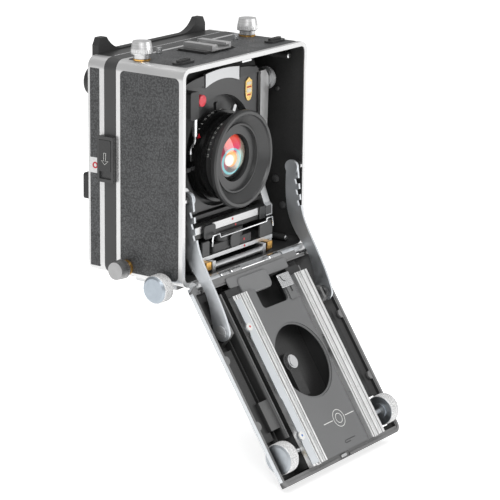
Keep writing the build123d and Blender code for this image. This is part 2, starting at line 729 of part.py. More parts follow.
for side, word in zip(SIDES, ("left", "right")):
    inner = STRUT_X if side > 0 else -STRUT_X - STRUT_T
    with BuildPart() as strut:
        with BuildSketch(strut_plane(inner)):
            with BuildLine():
                ThreePointArc((0, 7.2), (-7.2, 0), (0, -7.2))
                Spline(
                    (0, -7.2), (18, -5.2), (31, -5.4), (44.5, -10.3), (61.5, -14.6), (84.8, -11.4),
                    (STRUT_LENGTH, -5.4),
                )
                ThreePointArc((STRUT_LENGTH, -5.4), (STRUT_LENGTH + 5.4, 0), (STRUT_LENGTH, 5.4))
                Spline((STRUT_LENGTH, 5.4), (82, 1.2), (62, -1.4), (44, 1.0), (20, 5.6), (0, 7.2))
            make_face()
            Circle(2.5 + SLACK, mode=Mode.SUBTRACT)
            for along, edge in ((12.0, 2.6), (20.5, 1.0), (29.0, -0.2)):
                with Locations((STRUT_LENGTH - along, edge)):
                    Rectangle(4.2, 6, mode=Mode.SUBTRACT)
        extrude(amount=STRUT_T)
        with BuildSketch(strut_plane(side * STRUT_X)):
            with Locations((STRUT_LENGTH, 0)):
                Circle(5.8)
        extrude(amount=-side * 1.0)
    finish(strut, f"strut_{word}")

with BuildPart() as strut_screws:
    for side in SIDES:
        shank = Plane(origin=bed_point(side * 62, STRUT_V, STRUT_W), x_dir=DOWN_BED, z_dir=(side, 0, 0))
        with BuildSketch(shank):
            Circle(2.5)
        extrude(amount=STRUT_X + STRUT_T + 0.3 - 62)
        with BuildSketch(shank.offset(STRUT_X + STRUT_T + 0.3 - 62)):
            Circle(5)
        extrude(amount=1.6)
        with BuildSketch(shank.offset(STRUT_X + STRUT_T + 1.2 - 62)):
            Rectangle(12, 1.1, rotation=45)
        extrude(amount=2, mode=Mode.SUBTRACT)
finish(strut_screws, "strut_screws")

# ---------------------------------------------------------------- carriage of the lens standard
CARRIAGE_FRONT = -21.0
CARRIAGE_REAR = 12.0
CARRIAGE_Z = TRACK_TOP + 0.3
CARRIAGE_T = 3.0
with BuildPart() as standard_carriage:
    with BuildSketch(Plane.XY.offset(CARRIAGE_Z)):
        with Locations((0, (CARRIAGE_FRONT + CARRIAGE_REAR) / 2)):
            RectangleRounded(104, CARRIAGE_REAR - CARRIAGE_FRONT, 2)
    extrude(amount=CARRIAGE_T)
    for side in SIDES:
        with BuildSketch(Plane.XY.offset(CARRIAGE_Z)):
            with Locations((side * 51.15, (CARRIAGE_FRONT + CARRIAGE_REAR) / 2)):
                Rectangle(1.7, CARRIAGE_REAR - CARRIAGE_FRONT - 4)
        extrude(amount=-6)
finish(standard_carriage, "standard_carriage")

DRIVE_PITCH_R = GEAR_MODULE * DRIVE_TEETH / 2
CARRIAGE_TEETH = 12
CARRIAGE_RACK_START = DRIVE_Y - 3.75 * GEAR_PITCH
with BuildPart() as carriage_racks:
    for side in SIDES:
        with BuildSketch(from_right(side * GEAR_U - 3)):
            with BuildLine():
                Polyline(
                    *rack_outline(
                        CARRIAGE_RACK_START, CARRIAGE_TEETH, GEAR_MODULE, DRIVE_Z + DRIVE_PITCH_R,
                        CARRIAGE_Z, BACKLASH,
                    ),
                    close=True,
                )
            make_face()
        extrude(amount=6)
finish(carriage_racks, "carriage_racks")

# ---------------------------------------------------------------- shift block, swing bar and frame
PIVOT_Y = -13.0
PIVOT_Z = 38.5
with BuildPart() as shift_block:
    with BuildSketch(Plane.XY.offset(CARRIAGE_Z + CARRIAGE_T + 0.3)):
        with Locations((0, PIVOT_Y + 2)):
            RectangleRounded(50, 17, 2)
    extrude(amount=6.4)
    with BuildSketch(Plane.XY.offset(CARRIAGE_Z + CARRIAGE_T + 6.7)):
        with Locations((0, PIVOT_Y)):
            Circle(3)
    extrude(amount=5)
finish(shift_block, "shift_block")

SWING_Z = CARRIAGE_Z + CARRIAGE_T + 7.0
with BuildPart() as swing_bar:
    with BuildSketch(Plane.XY.offset(SWING_Z)):
        with Locations((0, PIVOT_Y)):
            SlotOverall(34, 13)
            Circle(3 + SLACK, mode=Mode.SUBTRACT)
    extrude(amount=7.2)
    with BuildSketch(Plane.XY.offset(SWING_Z + 7.2)):
        with Locations((0, PIVOT_Y)):
            Rectangle(92, 8)
    extrude(amount=9)
    with BuildSketch(from_right(-55.5)):
        with Locations((PIVOT_Y, PIVOT_Z)):
            Circle(2.5)
    extrude(amount=111)
finish(swing_bar, "swing_bar")

FRAME_FRONT = -9.0
FRAME_REAR = -1.0
FRAME_IN = 49.0
FRAME_FOOT = 32.0
FRAME_TOP = 148.0
with BuildPart() as standard_frame:
    with BuildSketch(facing_front(FRAME_REAR)):
        with BuildLine():
            Polyline(
                (-57, FRAME_FOOT + 4), (-53, FRAME_FOOT), (-47, FRAME_FOOT), (-47, 45.5), (47, 45.5),
                (47, FRAME_FOOT), (53, FRAME_FOOT), (57, FRAME_FOOT + 4), (60, FRAME_TOP - 6),
                (56, FRAME_TOP), (FRAME_IN, FRAME_TOP), (FRAME_IN, 48.4), (-FRAME_IN, 48.4),
                (-FRAME_IN, FRAME_TOP), (-56, FRAME_TOP), (-60, FRAME_TOP - 6), close=True,
            )
        make_face()
    extrude(amount=FRAME_REAR - FRAME_FRONT)
    # ears that reach forward to the tilt pins
    for side in SIDES:
        with BuildSketch(from_right(side * 47)):
            with BuildLine():
                Polyline(
                    (FRAME_FRONT + 1, FRAME_FOOT), (PIVOT_Y - 4.5, FRAME_FOOT + 2),
                    (PIVOT_Y - 4.5, PIVOT_Z + 3), (PIVOT_Y - 2, PIVOT_Z + 5.5),
                    (FRAME_FRONT + 1, 62), close=True,
                )
            make_face()
        extrude(amount=side * 8)
        with BuildSketch(from_right(side * 46)):
            with Locations((PIVOT_Y, PIVOT_Z)):
                Circle(2.5 + SLACK)
        extrude(amount=side * 10, mode=Mode.SUBTRACT)
finish(standard_frame, "standard_frame")

# clamp knobs: the tilt's on the right leg's outer side, the rise's on the left leg's front
LOW_KNOB_X = -56.0
LOW_KNOB_Z = 70.0
TILT_KNOB_Y = -4.0
TILT_KNOB_Z = 140.0
tilt_side = Plane(origin=(60.3, TILT_KNOB_Y, TILT_KNOB_Z), x_dir=(0, 1, 0), z_dir=(1, 0, 0))
rise_side = Plane(origin=(LOW_KNOB_X, FRAME_FRONT - 0.3, LOW_KNOB_Z), x_dir=(1, 0, 0), z_dir=(0, -1, 0))
for name, seat, radius, grip in (("tilt_knob", tilt_side, 8.9, 3.0), ("rise_knob", rise_side, 5.6, 5.0)):
    with BuildPart() as lock_knob:
        with BuildSketch(seat):
            Circle(radius - 2.2)
        extrude(amount=0.9)
        with BuildSketch(seat.offset(0.9)):
            Circle(radius)
            with PolarLocations(radius + 0.3, 28):
                Circle(0.55, mode=Mode.SUBTRACT)
        extrude(amount=grip)
    finish(lock_knob, name)

# ---------------------------------------------------------------- rising panel with the lens board
RECESS_Z = 93.5
RECESS_R = 43.0
RECESS_FLOOR_Y = 1.5
PANEL_REAR = -0.6
with BuildPart() as rise_panel:
    with BuildSketch(facing_front(PANEL_REAR)):
        with Locations((0, 100.2)):
            Rectangle(97.4, 102.8)
        with Locations((0, RECESS_Z)):
            Circle(RECESS_R + 2.2, mode=Mode.SUBTRACT)
    extrude(amount=2.2)
    with BuildSketch(facing_front(PANEL_REAR)):
        with Locations((0, 150.4)):
            Rectangle(97.4, 2.4)
        with Locations((-38, 49.1), (38, 49.1)):
            Rectangle(20, 0.6)
    extrude(amount=5)
    # two curved keepers over the board's top corners
    for side in SIDES:
        with BuildSketch(facing_front(BOARD_Y - 0.3)):
            with BuildLine():
                Line((side * 23, 146.5), (side * 23, 154.5))
                ThreePointArc((side * 23, 154.5), (side * 36, 153.2), (side * 47, 150.6))
                Line((side * 47, 150.6), (side * 47, 147.4))
                ThreePointArc((side * 47, 147.4), (side * 36, 147.2), (side * 23, 146.5))
            make_face()
        extrude(amount=1.8)
        with BuildSketch(facing_front(BOARD_Y + 0.6)):
            with Locations((side * 35, 150.4)):
                Rectangle(20, 1.8)
        extrude(amount=1.2)
finish(rise_panel, "rise_panel")

BOARD_REAR = BOARD_Y + BOARD_T
with BuildPart() as lens_board:
    with BuildSketch(facing_front(BOARD_REAR)):
        with Locations((0, (BOARD_LOW + BOARD_HIGH) / 2 + 0.1)):
            RectangleRounded(2 * BOARD_HALF, BOARD_HIGH - BOARD_LOW - 1, 1.5)
        with Locations((0, RECESS_Z)):
            Circle(RECESS_R, mode=Mode.SUBTRACT)
    extrude(amount=BOARD_T)
    with BuildSketch(facing_front(RECESS_FLOOR_Y + 2)):
        with Locations((0, RECESS_Z)):
            Circle(RECESS_R + 1.6)
            Circle(RECESS_R, mode=Mode.SUBTRACT)
    extrude(amount=RECESS_FLOOR_Y + 2 - BOARD_REAR)
    with BuildSketch(facing_front(RECESS_FLOOR_Y + 2)):
        with Locations((0, RECESS_Z)):
            Circle(RECESS_R + 1)
        with Locations((0, LENS_Z)):
            Circle(20.8, mode=Mode.SUBTRACT)
    extrude(amount=2)
finish(lens_board, "lens_board")

with BuildPart() as board_lock:
    with BuildSketch(facing_front(BOARD_Y - 0.3)):
        with BuildLine():
            Line((-21.5, 145), (-21.5, 155.5))
            ThreePointArc((-21.5, 155.5), (0, 157), (21.5, 155.5))
            Line((21.5, 155.5), (21.5, 145))
            ThreePointArc((21.5, 145), (0, 149.2), (-21.5, 145))
        make_face()
    extrude(amount=2)
finish(board_lock, "board_lock")


# cable release holder with its button
BUTTON_X = -33.4
BUTTON_Z = 138.0
with BuildPart() as release_holder:
    with BuildSketch(facing_front(BOARD_Y)):
        with Locations((-43.35, 135.5)):
            RectangleRounded(10.1, 21, 1.5)
    extrude(amount=8.5)
    with BuildSketch(facing_front(BOARD_Y)):
        with Locations((-34.2, 133)):
            RectangleRounded(8.6, 18, 1.5)
        with Locations((BUTTON_X, BUTTON_Z)):
            Circle(2.2 + SLACK, mode=Mode.SUBTRACT)
    extrude(amount=4)
finish(release_holder, "release_holder")

with BuildPart() as release_button:
    with BuildSketch(facing_front(BOARD_Y - 2)):
        with Locations((BUTTON_X, BUTTON_Z)):
            Circle(2.2)
    extrude(amount=4)
    with BuildSketch(facing_front(BOARD_Y - 5.6)):
        with Locations((BUTTON_X, BUTTON_Z)):
            Circle(4.5)
    extrude(amount=1.8)
    fillet(release_button.edges().filter_by(GeomType.CIRCLE).group_by(Axis.Y)[0], 0.7)
finish(release_button, "release_button")

# short cable from the holder down to the socket on the shutter's left side
CABLE_R = 0.9
BARREL_FOOT = (-40.0, BOARD_Y - 6.2, 112.0)
SOCKET_TOP = (-38.3, BOARD_Y - 0.7, 97.0)
CABLE_ROUTE = [
    BARREL_FOOT, (-40.5, BOARD_Y - 6.6, 106.9), (-38.8, BOARD_Y - 1.6, 102.4), (-38.3, BOARD_Y - 0.7, 98.0),
]


def cord_radii(route):
    """The radius of each corner's arc: 0.45 of its shorter run over the tangent of half its turn."""
    points = [Vector(*point) for point in route]
    runs = [b - a for a, b in zip(points, points[1:])]
    return [
        0.45 * min(a.length, b.length) / tan(radians(a.get_angle(b)) / 2)
        for a, b in zip(runs, runs[1:])
    ]


with BuildPart() as release_cable:
    with BuildLine():
        cable_path = FilletPolyline(*CABLE_ROUTE, radius=cord_radii(CABLE_ROUTE))
    with BuildSketch(Plane(origin=cable_path @ 0, z_dir=cable_path % 0)):
        Circle(CABLE_R)
    sweep()
    with BuildSketch(Plane.XY.offset(BARREL_FOOT[2])):
        with Locations(BARREL_FOOT[:2]):
            Circle(1.9)
    extrude(amount=13)
    with BuildSketch(Plane.XY.offset(SOCKET_TOP[2])):
        with Locations(SOCKET_TOP[:2]):
            Circle(1.5)
    extrude(amount=2.6)
finish(release_cable, "release_cable")
print("cable arc radii", [round(radius, 1) for radius in cord_radii(CABLE_ROUTE)])

# ---------------------------------------------------------------- lens in its leaf shutter
LENS_AXIS = Axis((0, 0, LENS_Z), (0, 1, 0))


def turned_about_lens(profile):
    """A ring turned about the lens axis from (radius, y) points."""
    with BuildPart() as ring:
        with BuildSketch(Plane(origin=(0, 0, LENS_Z), x_dir=(1, 0, 0), z_dir=(0, 0, 1))):
            with BuildLine():
                Polyline(*profile, close=True)
            make_face()
        revolve(axis=LENS_AXIS)
    return ring


SHUTTER_R = 35.4
SHUTTER_FRONT = -12.6
with BuildPart() as shutter_case:
    with BuildSketch(Plane(origin=(0, 0, LENS_Z), x_dir=(1, 0, 0), z_dir=(0, 0, 1))):
        with BuildLine():
            Polyline(
                (16, RECESS_FLOOR_Y + 5), (20, RECESS_FLOOR_Y + 5), (20, RECESS_FLOOR_Y),
                (31, RECESS_FLOOR_Y), (SHUTTER_R, -1.5), (SHUTTER_R, -8.6), (29.8, -8.6),
                (29.8, SHUTTER_FRONT + 0.4),
                (24, SHUTTER_FRONT + 0.4), (24, -3), (16, -3), close=True,
            )
        make_face()
    revolve(axis=LENS_AXIS)
    # socket for the cable
    with BuildSketch(Plane.XY.offset(SOCKET_TOP[2])):
        with Locations((SOCKET_TOP[0] + 1.7, SOCKET_TOP[1])):
            RectangleRounded(7, 3.6, 1.2)
    extrude(amount=-5)
finish(shutter_case, "shutter_case")

with BuildPart() as speed_ring:
    with BuildSketch(facing_front(SHUTTER_FRONT + 0.1)):
        with Locations((0, LENS_Z)):
            Circle(33.2)
            Circle(30.2, mode=Mode.SUBTRACT)
    extrude(amount=3)
    with BuildSketch(facing_front(SHUTTER_FRONT + 0.1)):
        with Locations((0, LENS_Z)):
            with PolarLocations(33.3, 90):
                Circle(0.45)
    extrude(amount=3, mode=Mode.SUBTRACT)
finish(speed_ring, "speed_ring")

with BuildPart() as shutter_blades:
    with BuildSketch(facing_front(-4)):
        with Locations((0, LENS_Z)):
            Circle(19.2)
    extrude(amount=0.8)
finish(shutter_blades, "shutter_blades")

front_barrel = turned_about_lens([
    (22, SHUTTER_FRONT), (29.9, SHUTTER_FRONT), (29.9, -22.4), (31.5, -23.4), (RING_R - 0.6, -24.6),
    (RING_R, -25.4), (RING_R, RING_FRONT + 1.2), (RING_R - 1.2, RING_FRONT), (34.4, RING_FRONT),
    (33.6, RING_FRONT + 1.4), (27.2, -22.2), (26.6, -23.2), (25.4, -23.2), (24.8, -20.6),
    (18.4, -20.6), (18.4, SHUTTER_FRONT),
])
finish(front_barrel, "front_barrel")


def lens_element(flat_y, edge_y, pole_y, radius=17.8):
    """A plano-convex glass: flat face, edge of the dome and its pole given along Y."""
    sagitta = abs(pole_y - edge_y)
    outward = 1 if pole_y > edge_y else -1
    sphere_r = (radius ** 2 + sagitta ** 2) / (2 * sagitta)
    half_angle = atan2(radius, sphere_r - sagitta) / 2
    middle = (sphere_r * sin(half_angle), pole_y - outward * sphere_r * (1 - cos(half_angle)))
    with BuildPart() as glass:
        with BuildSketch(Plane(origin=(0, 0, LENS_Z), x_dir=(1, 0, 0), z_dir=(0, 0, 1))):
            with BuildLine():
                Line((0, flat_y), (0, pole_y))
                ThreePointArc((0, pole_y), middle, (radius, edge_y))
                Line((radius, edge_y), (radius, flat_y))
                Line((radius, flat_y), (0, flat_y))
            make_face()
        revolve(axis=LENS_AXIS)
    return glass


finish(lens_element(-13.4, -17.2, -22.4), "front_element")
finish(lens_element(11.0, 19.0, 22.6), "rear_element")

rear_barrel = turned_about_lens([
    (20.2, RECESS_FLOOR_Y + 2.2), (25, RECESS_FLOOR_Y + 2.2), (25, RECESS_FLOOR_Y + 5.2),
    (26, RECESS_FLOOR_Y + 5.2), (26, 18), (24, 23), (18, 23), (18, 10), (16, 10), (16, RECESS_FLOOR_Y + 5.2),
    (20.2, RECESS_FLOOR_Y + 5.2),
])
finish(rear_barrel, "rear_barrel")

# levers of the shutter, each riding in its own slot round the case
def shutter_lever(angle, length, width, y, thickness):
    """A flat lever that stands out of the shutter case at an angle from +X about the lens axis."""
    with BuildPart() as lever:
        with BuildSketch(facing_front(y)):
            with Locations((0, LENS_Z)):
                with PolarLocations(SHUTTER_R + 0.3 + length / 2, 1, start_angle=angle):
                    RectangleRounded(length, width, min(length, width) * 0.3)
        extrude(amount=thickness)
    return lever


finish(shutter_lever(96, 6.5, 4, -4.4, 2.4), "cocking_lever")
finish(shutter_lever(62, 5.5, 3.4, -4.4, 2.4), "release_lever")
finish(shutter_lever(188, 5, 3, -3.4, 1.6), "aperture_lever")

# ---------------------------------------------------------------- bellows
BELLOWS_FRONT = PANEL_REAR + 0.1
BELLOWS_REAR = REAR_Y - 1.3
BELLOWS_FOLDS = 12
with BuildPart() as bellows:
    fold = (BELLOWS_REAR - BELLOWS_FRONT) / BELLOWS_FOLDS
    for k in range(BELLOWS_FOLDS):
        grow = 8 if k % 2 else 0
        with BuildSketch(facing_front(BELLOWS_FRONT + (k + 1) * fold)):
            with Locations((0, 99)):
                RectangleRounded(104 + grow, 106 + grow, 5)
                Rectangle(101, 103, mode=Mode.SUBTRACT)
        extrude(amount=fold)
    with BuildSketch(facing_front(REAR_Y)):
        with Locations((0, MID_Z)):
            RectangleRounded(136, 140, 5)
        with Locations((0, 99)):
            Rectangle(101, 103, mode=Mode.SUBTRACT)
    extrude(amount=1.3)
finish(bellows, "bellows")

# ----------------------------------------------------------- back: two frames that slide out on four rods
MID_FRONT = REAR_Y + FRAME_GAP
BACK_FRONT = MID_FRONT + MID_FRAME_D - FRAME_GAP
BACK_REAR = BACK_FRONT + BACK_FRAME_D
SLIDER_LOW = 77.0
SLIDER_HIGH = 112.0
with BuildPart() as mid_frame:
    with BuildSketch(facing_front(BACK_FRONT)):
        with Locations((0, MID_Z)):
            RectangleRounded(HOUSING_W, HOUSING_H, EDGE_R)
            RectangleRounded(130, 140, 6, mode=Mode.SUBTRACT)
    extrude(amount=BACK_FRONT - MID_FRONT)
    # the four rods, let into the frame
    with BuildSketch(facing_front(MID_FRONT + 5)):
        for side in SIDES:
            with Locations((side * ROD_X, ROD_LOW_Z), (side * ROD_X, ROD_HIGH_Z)):
                Circle(ROD_R)
    extrude(amount=MID_FRONT + 5 + 18)
    # block on the left side that houses the release slider
    with BuildSketch(from_right(-HOUSING_W / 2)):
        with Locations(((MID_FRONT + 46.4) / 2, (SLIDER_LOW + SLIDER_HIGH) / 2)):
            RectangleRounded(46.4 - MID_FRONT, SLIDER_HIGH - SLIDER_LOW, 1.2)
    extrude(amount=-3.6)
    with BuildSketch(from_right(-HOUSING_W / 2 - 3.6)):
        with Locations(((MID_FRONT + 46.4) / 2, (SLIDER_LOW + SLIDER_HIGH) / 2)):
            Rectangle(11, 30)
    extrude(amount=1.6, mode=Mode.SUBTRACT)
finish(mid_frame, "mid_frame")

with BuildPart() as arrow_slider:
    with BuildSketch(from_right(-HOUSING_W / 2 - 2.1)):
        with Locations(((MID_FRONT + 46.4) / 2, SLIDER_HIGH - 2.7 - 12)):
            RectangleRounded(10.6, 24, 1)
    extrude(amount=-1.7)
finish(arrow_slider, "arrow_slider")

GATE_W = 93.0
GATE_H = 118.0
BAYONET_R = 74.0
INSETS = ((-1, 10, 82), (-1, 94, 162), (1, 10, 162))
with BuildPart() as back_frame:
    with BuildSketch(facing_front(BACK_REAR)):
        with Locations((0, MID_Z)):
            RectangleRounded(HOUSING_W, HOUSING_H, EDGE_R)
            Circle(BAYONET_R + 0.05, mode=Mode.SUBTRACT)
    extrude(amount=BACK_FRAME_D)
    for side, low, high in INSETS:
        with BuildSketch(from_right(side * HOUSING_W / 2)):
            with Locations(((BACK_FRONT + 4.6 + BACK_REAR - 2) / 2, (low + high) / 2)):
                Rectangle(BACK_FRAME_D - 6.6, high - low)
        extrude(amount=-side * LEATHER_SINK, mode=Mode.SUBTRACT)
finish(back_frame, "back_frame")

with BuildPart() as back_leather:
    for side, low, high in INSETS:
        with BuildSketch(from_right(side * (HOUSING_W / 2 - LEATHER_SINK))):
            with Locations(((BACK_FRONT + 4.6 + BACK_REAR - 2) / 2, (low + high) / 2)):
                Rectangle(BACK_FRAME_D - 6.6, high - low)
        extrude(amount=side * LEATHER)
finish(back_leather, "back_leather")

REVOLVE_FRONT = BACK_REAR + 0.3
REVOLVE_REAR = REVOLVE_FRONT + 6.0
PIN_X = 56.8
PIN_R = 1.5
with BuildPart() as revolving_back:
    with BuildSketch(facing_front(REVOLVE_REAR)):
        with Locations((0, MID_Z)):
            RectangleRounded(142, 142, 16)
        with Locations((0, 160)):
            Rectangle(118, 22)
        for side in SIDES:
            with BuildLine():
                ThreePointArc((side * 36, 170.9), (side * 49, 174), (side * 57, 181.5))
                Polyline(
                    (side * 57, 181.5), (side * 64, 181.5), (side * 67, 176), (side * 67, 150),
                    (side * 36, 150), (side * 36, 170.9),
                )
            make_face()
            with Locations((side * 66, 149.5)):
                Circle(11.5)
            with Locations((side * 72, 70)):
                RectangleRounded(13, 20, 2)
        with Locations((0, MID_Z)):
            RectangleRounded(GATE_W, GATE_H, 10, mode=Mode.SUBTRACT)
    extrude(amount=REVOLVE_REAR - REVOLVE_FRONT)
    with BuildSketch(facing_front(REVOLVE_FRONT)):
        with Locations((0, MID_Z)):
            Circle(BAYONET_R - 0.05)
            RectangleRounded(GATE_W, GATE_H, 10, mode=Mode.SUBTRACT)
    extrude(amount=6)
    # holes for the guide pins of the ground-glass frame
    with BuildSketch(facing_front(REVOLVE_REAR + 1)):
        for side in SIDES:
            with Locations((side * PIN_X, MID_Z - 40), (side * PIN_X, MID_Z + 40)):
                Circle(PIN_R + SLACK)
    extrude(amount=20, mode=Mode.SUBTRACT)
finish(revolving_back, "revolving_back")

FOCUS_FRONT = REVOLVE_REAR + 0.3
HOOD_REAR = FOCUS_FRONT + 10.5
LID_HINGE_Y = HOOD_REAR + 1.6
LID_HINGE_Z = MID_Z - 69.5
with BuildPart() as focus_frame:
    with BuildSketch(facing_front(FOCUS_FRONT + 3.2)):
        with Locations((0, MID_Z)):
            RectangleRounded(120, 142, 5)
            RectangleRounded(GATE_W, GATE_H, 4, mode=Mode.SUBTRACT)
    extrude(amount=3.2)
    # guide pins that run forward through the revolving back
    with BuildSketch(facing_front(FOCUS_FRONT + 1)):
        for side in SIDES:
            with Locations((side * PIN_X, MID_Z - 40), (side * PIN_X, MID_Z + 40)):
                Circle(PIN_R)
    extrude(amount=20.7)
    with BuildSketch(facing_front(HOOD_REAR)):
        with Locations((0, MID_Z)):
            RectangleRounded(108, 132, 4)
            RectangleRounded(100, 124, 2, mode=Mode.SUBTRACT)
    extrude(amount=HOOD_REAR - FOCUS_FRONT - 3.2)
    # ears and pin of the lid's hinge
    for side in SIDES:
        with BuildSketch(from_right(side * 40)):
            with BuildLine():
                Polyline(
                    (HOOD_REAR - 4, LID_HINGE_Z + 5), (HOOD_REAR - 4, LID_HINGE_Z - 2),
                    (LID_HINGE_Y + 2, LID_HINGE_Z - 2), (LID_HINGE_Y + 2, LID_HINGE_Z + 2),
                    (HOOD_REAR - 1, LID_HINGE_Z + 5), close=True,
                )
            make_face()
        extrude(amount=side * 4)
    with BuildSketch(from_right(-41)):
        with Locations((LID_HINGE_Y, LID_HINGE_Z)):
            Circle(1)
    extrude(amount=82)
finish(focus_frame, "focus_frame")

with BuildPart() as ground_glass:
    with BuildSketch(facing_front(FOCUS_FRONT + 5)):
        with Locations((0, MID_Z)):
            RectangleRounded(99.6, 123.6, 2.5)
    extrude(amount=1.8)
finish(ground_glass, "ground_glass")

with BuildPart() as hood_lid:
    with BuildSketch(facing_front(HOOD_REAR + 2.6)):
        with Locations((0, MID_Z + 0.5)):
            RectangleRounded(106, 131, 4)
    extrude(amount=2.2)
    with BuildSketch(from_right(-39.5)):
        with Locations((LID_HINGE_Y, LID_HINGE_Z)):
            Circle(2.0)
        with Locations((LID_HINGE_Y, LID_HINGE_Z + 3.3)):
            Rectangle(1.8, 4.4)
        with Locations((LID_HINGE_Y, LID_HINGE_Z)):
            Circle(1 + SLACK, mode=Mode.SUBTRACT)
    extrude(amount=79)
finish(hood_lid, "hood_lid")
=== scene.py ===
"""Looks of the folding camera: materials, bellows, dials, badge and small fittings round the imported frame."""

import math

import bmesh
import bpy
from mathutils import Matrix, Vector


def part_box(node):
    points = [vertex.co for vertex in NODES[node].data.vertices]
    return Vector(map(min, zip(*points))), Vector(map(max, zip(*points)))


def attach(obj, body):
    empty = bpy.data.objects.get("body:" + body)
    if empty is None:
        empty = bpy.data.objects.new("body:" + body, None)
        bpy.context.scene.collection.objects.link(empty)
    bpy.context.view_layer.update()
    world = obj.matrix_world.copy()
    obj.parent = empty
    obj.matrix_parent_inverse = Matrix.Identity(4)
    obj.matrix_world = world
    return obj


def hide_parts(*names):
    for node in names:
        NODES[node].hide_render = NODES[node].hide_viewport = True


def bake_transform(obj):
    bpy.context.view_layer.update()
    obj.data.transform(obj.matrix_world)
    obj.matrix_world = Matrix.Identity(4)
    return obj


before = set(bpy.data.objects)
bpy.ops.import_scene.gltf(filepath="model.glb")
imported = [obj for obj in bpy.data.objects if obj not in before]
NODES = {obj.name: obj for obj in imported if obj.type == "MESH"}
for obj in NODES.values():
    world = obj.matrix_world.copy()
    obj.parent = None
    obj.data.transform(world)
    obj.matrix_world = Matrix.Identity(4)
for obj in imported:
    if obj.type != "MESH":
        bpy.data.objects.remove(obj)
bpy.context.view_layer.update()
MM = 0.001

# ------------------------------------------------------------------ geometry of the frame, in millimetres
TURNED_RING_PITCH = 0.42
BEVEL_ANGLE = math.radians(35)
SHARP_ANGLE = math.radians(38)
LENS_Z = 89.5
BOARD_Y = -6.0
HALF_W = 80.0
TOP_Z = 170.0
MID_Z = 87.5
BELLOWS_Z = 99.0
HINGE = Vector((0, -34.8, 6.2))
BED_DROP = math.radians(57.1)
BED_DOWN = Vector((0, -math.cos(BED_DROP), -math.sin(BED_DROP)))
BED_UP = Vector((0, -math.sin(BED_DROP), math.cos(BED_DROP)))
STRUT_PIVOT = Vector((39.6, 3.9))
PLATE_FACE = 8.42
STOP_U = -50.0
SWING_BAR_FRONT = -17.2
SHIFT_BLOCK_FRONT = -19.7
LOCKING_WIRE_Y = -22.3
DRIVE_AXIS = (0, -15.4, 5.2)
SIDE_KNOB_AXIS = (0, 21, 13.5)
TOP_KNOB = (67, 17)
GUIDE_ROD = (73.5, -18.0)
SPEED_RING_R = 35.5
FRONT_BARREL_R = 30.0
SPANNER_NUT = (-57.0, 146.0)
ARROW_X = -83.86
SIDES = (-1, 1)


def bed_point(u, v, w):
    """A point on the bed: u to the right, v down the bed from the hinge, w off its face."""
    return Vector((u, 0, 0)) + HINGE + BED_DOWN * v + BED_UP * w


WHEEL_AXIS = bed_point(0, 142.6, 4.2)


def axes(origin, x_dir, normal):
    """A matrix in metres with local x and z along x_dir and normal; the origin is in millimetres."""
    z = Vector(normal).normalized()
    x = Vector(x_dir).normalized()
    y = z.cross(x)
    matrix = Matrix((x, y, z)).transposed().to_4x4()
    matrix.translation = Vector(origin) * MM
    return matrix


def facing_front(x, y, z):
    """Local x is +X, local y is +Z, local z faces the viewer, -Y."""
    return axes((x, y, z), (1, 0, 0), (0, -1, 0))


def facing_left(x, y, z):
    """Local x runs towards the front, local y is +Z, local z faces -X."""
    return axes((x, y, z), (0, -1, 0), (-1, 0, 0))


def on_bed(u, v, w):
    """Local x is +X, local y runs up the bed to the hinge, local z stands off its face."""
    return axes(bed_point(u, v, w), (1, 0, 0), BED_UP)


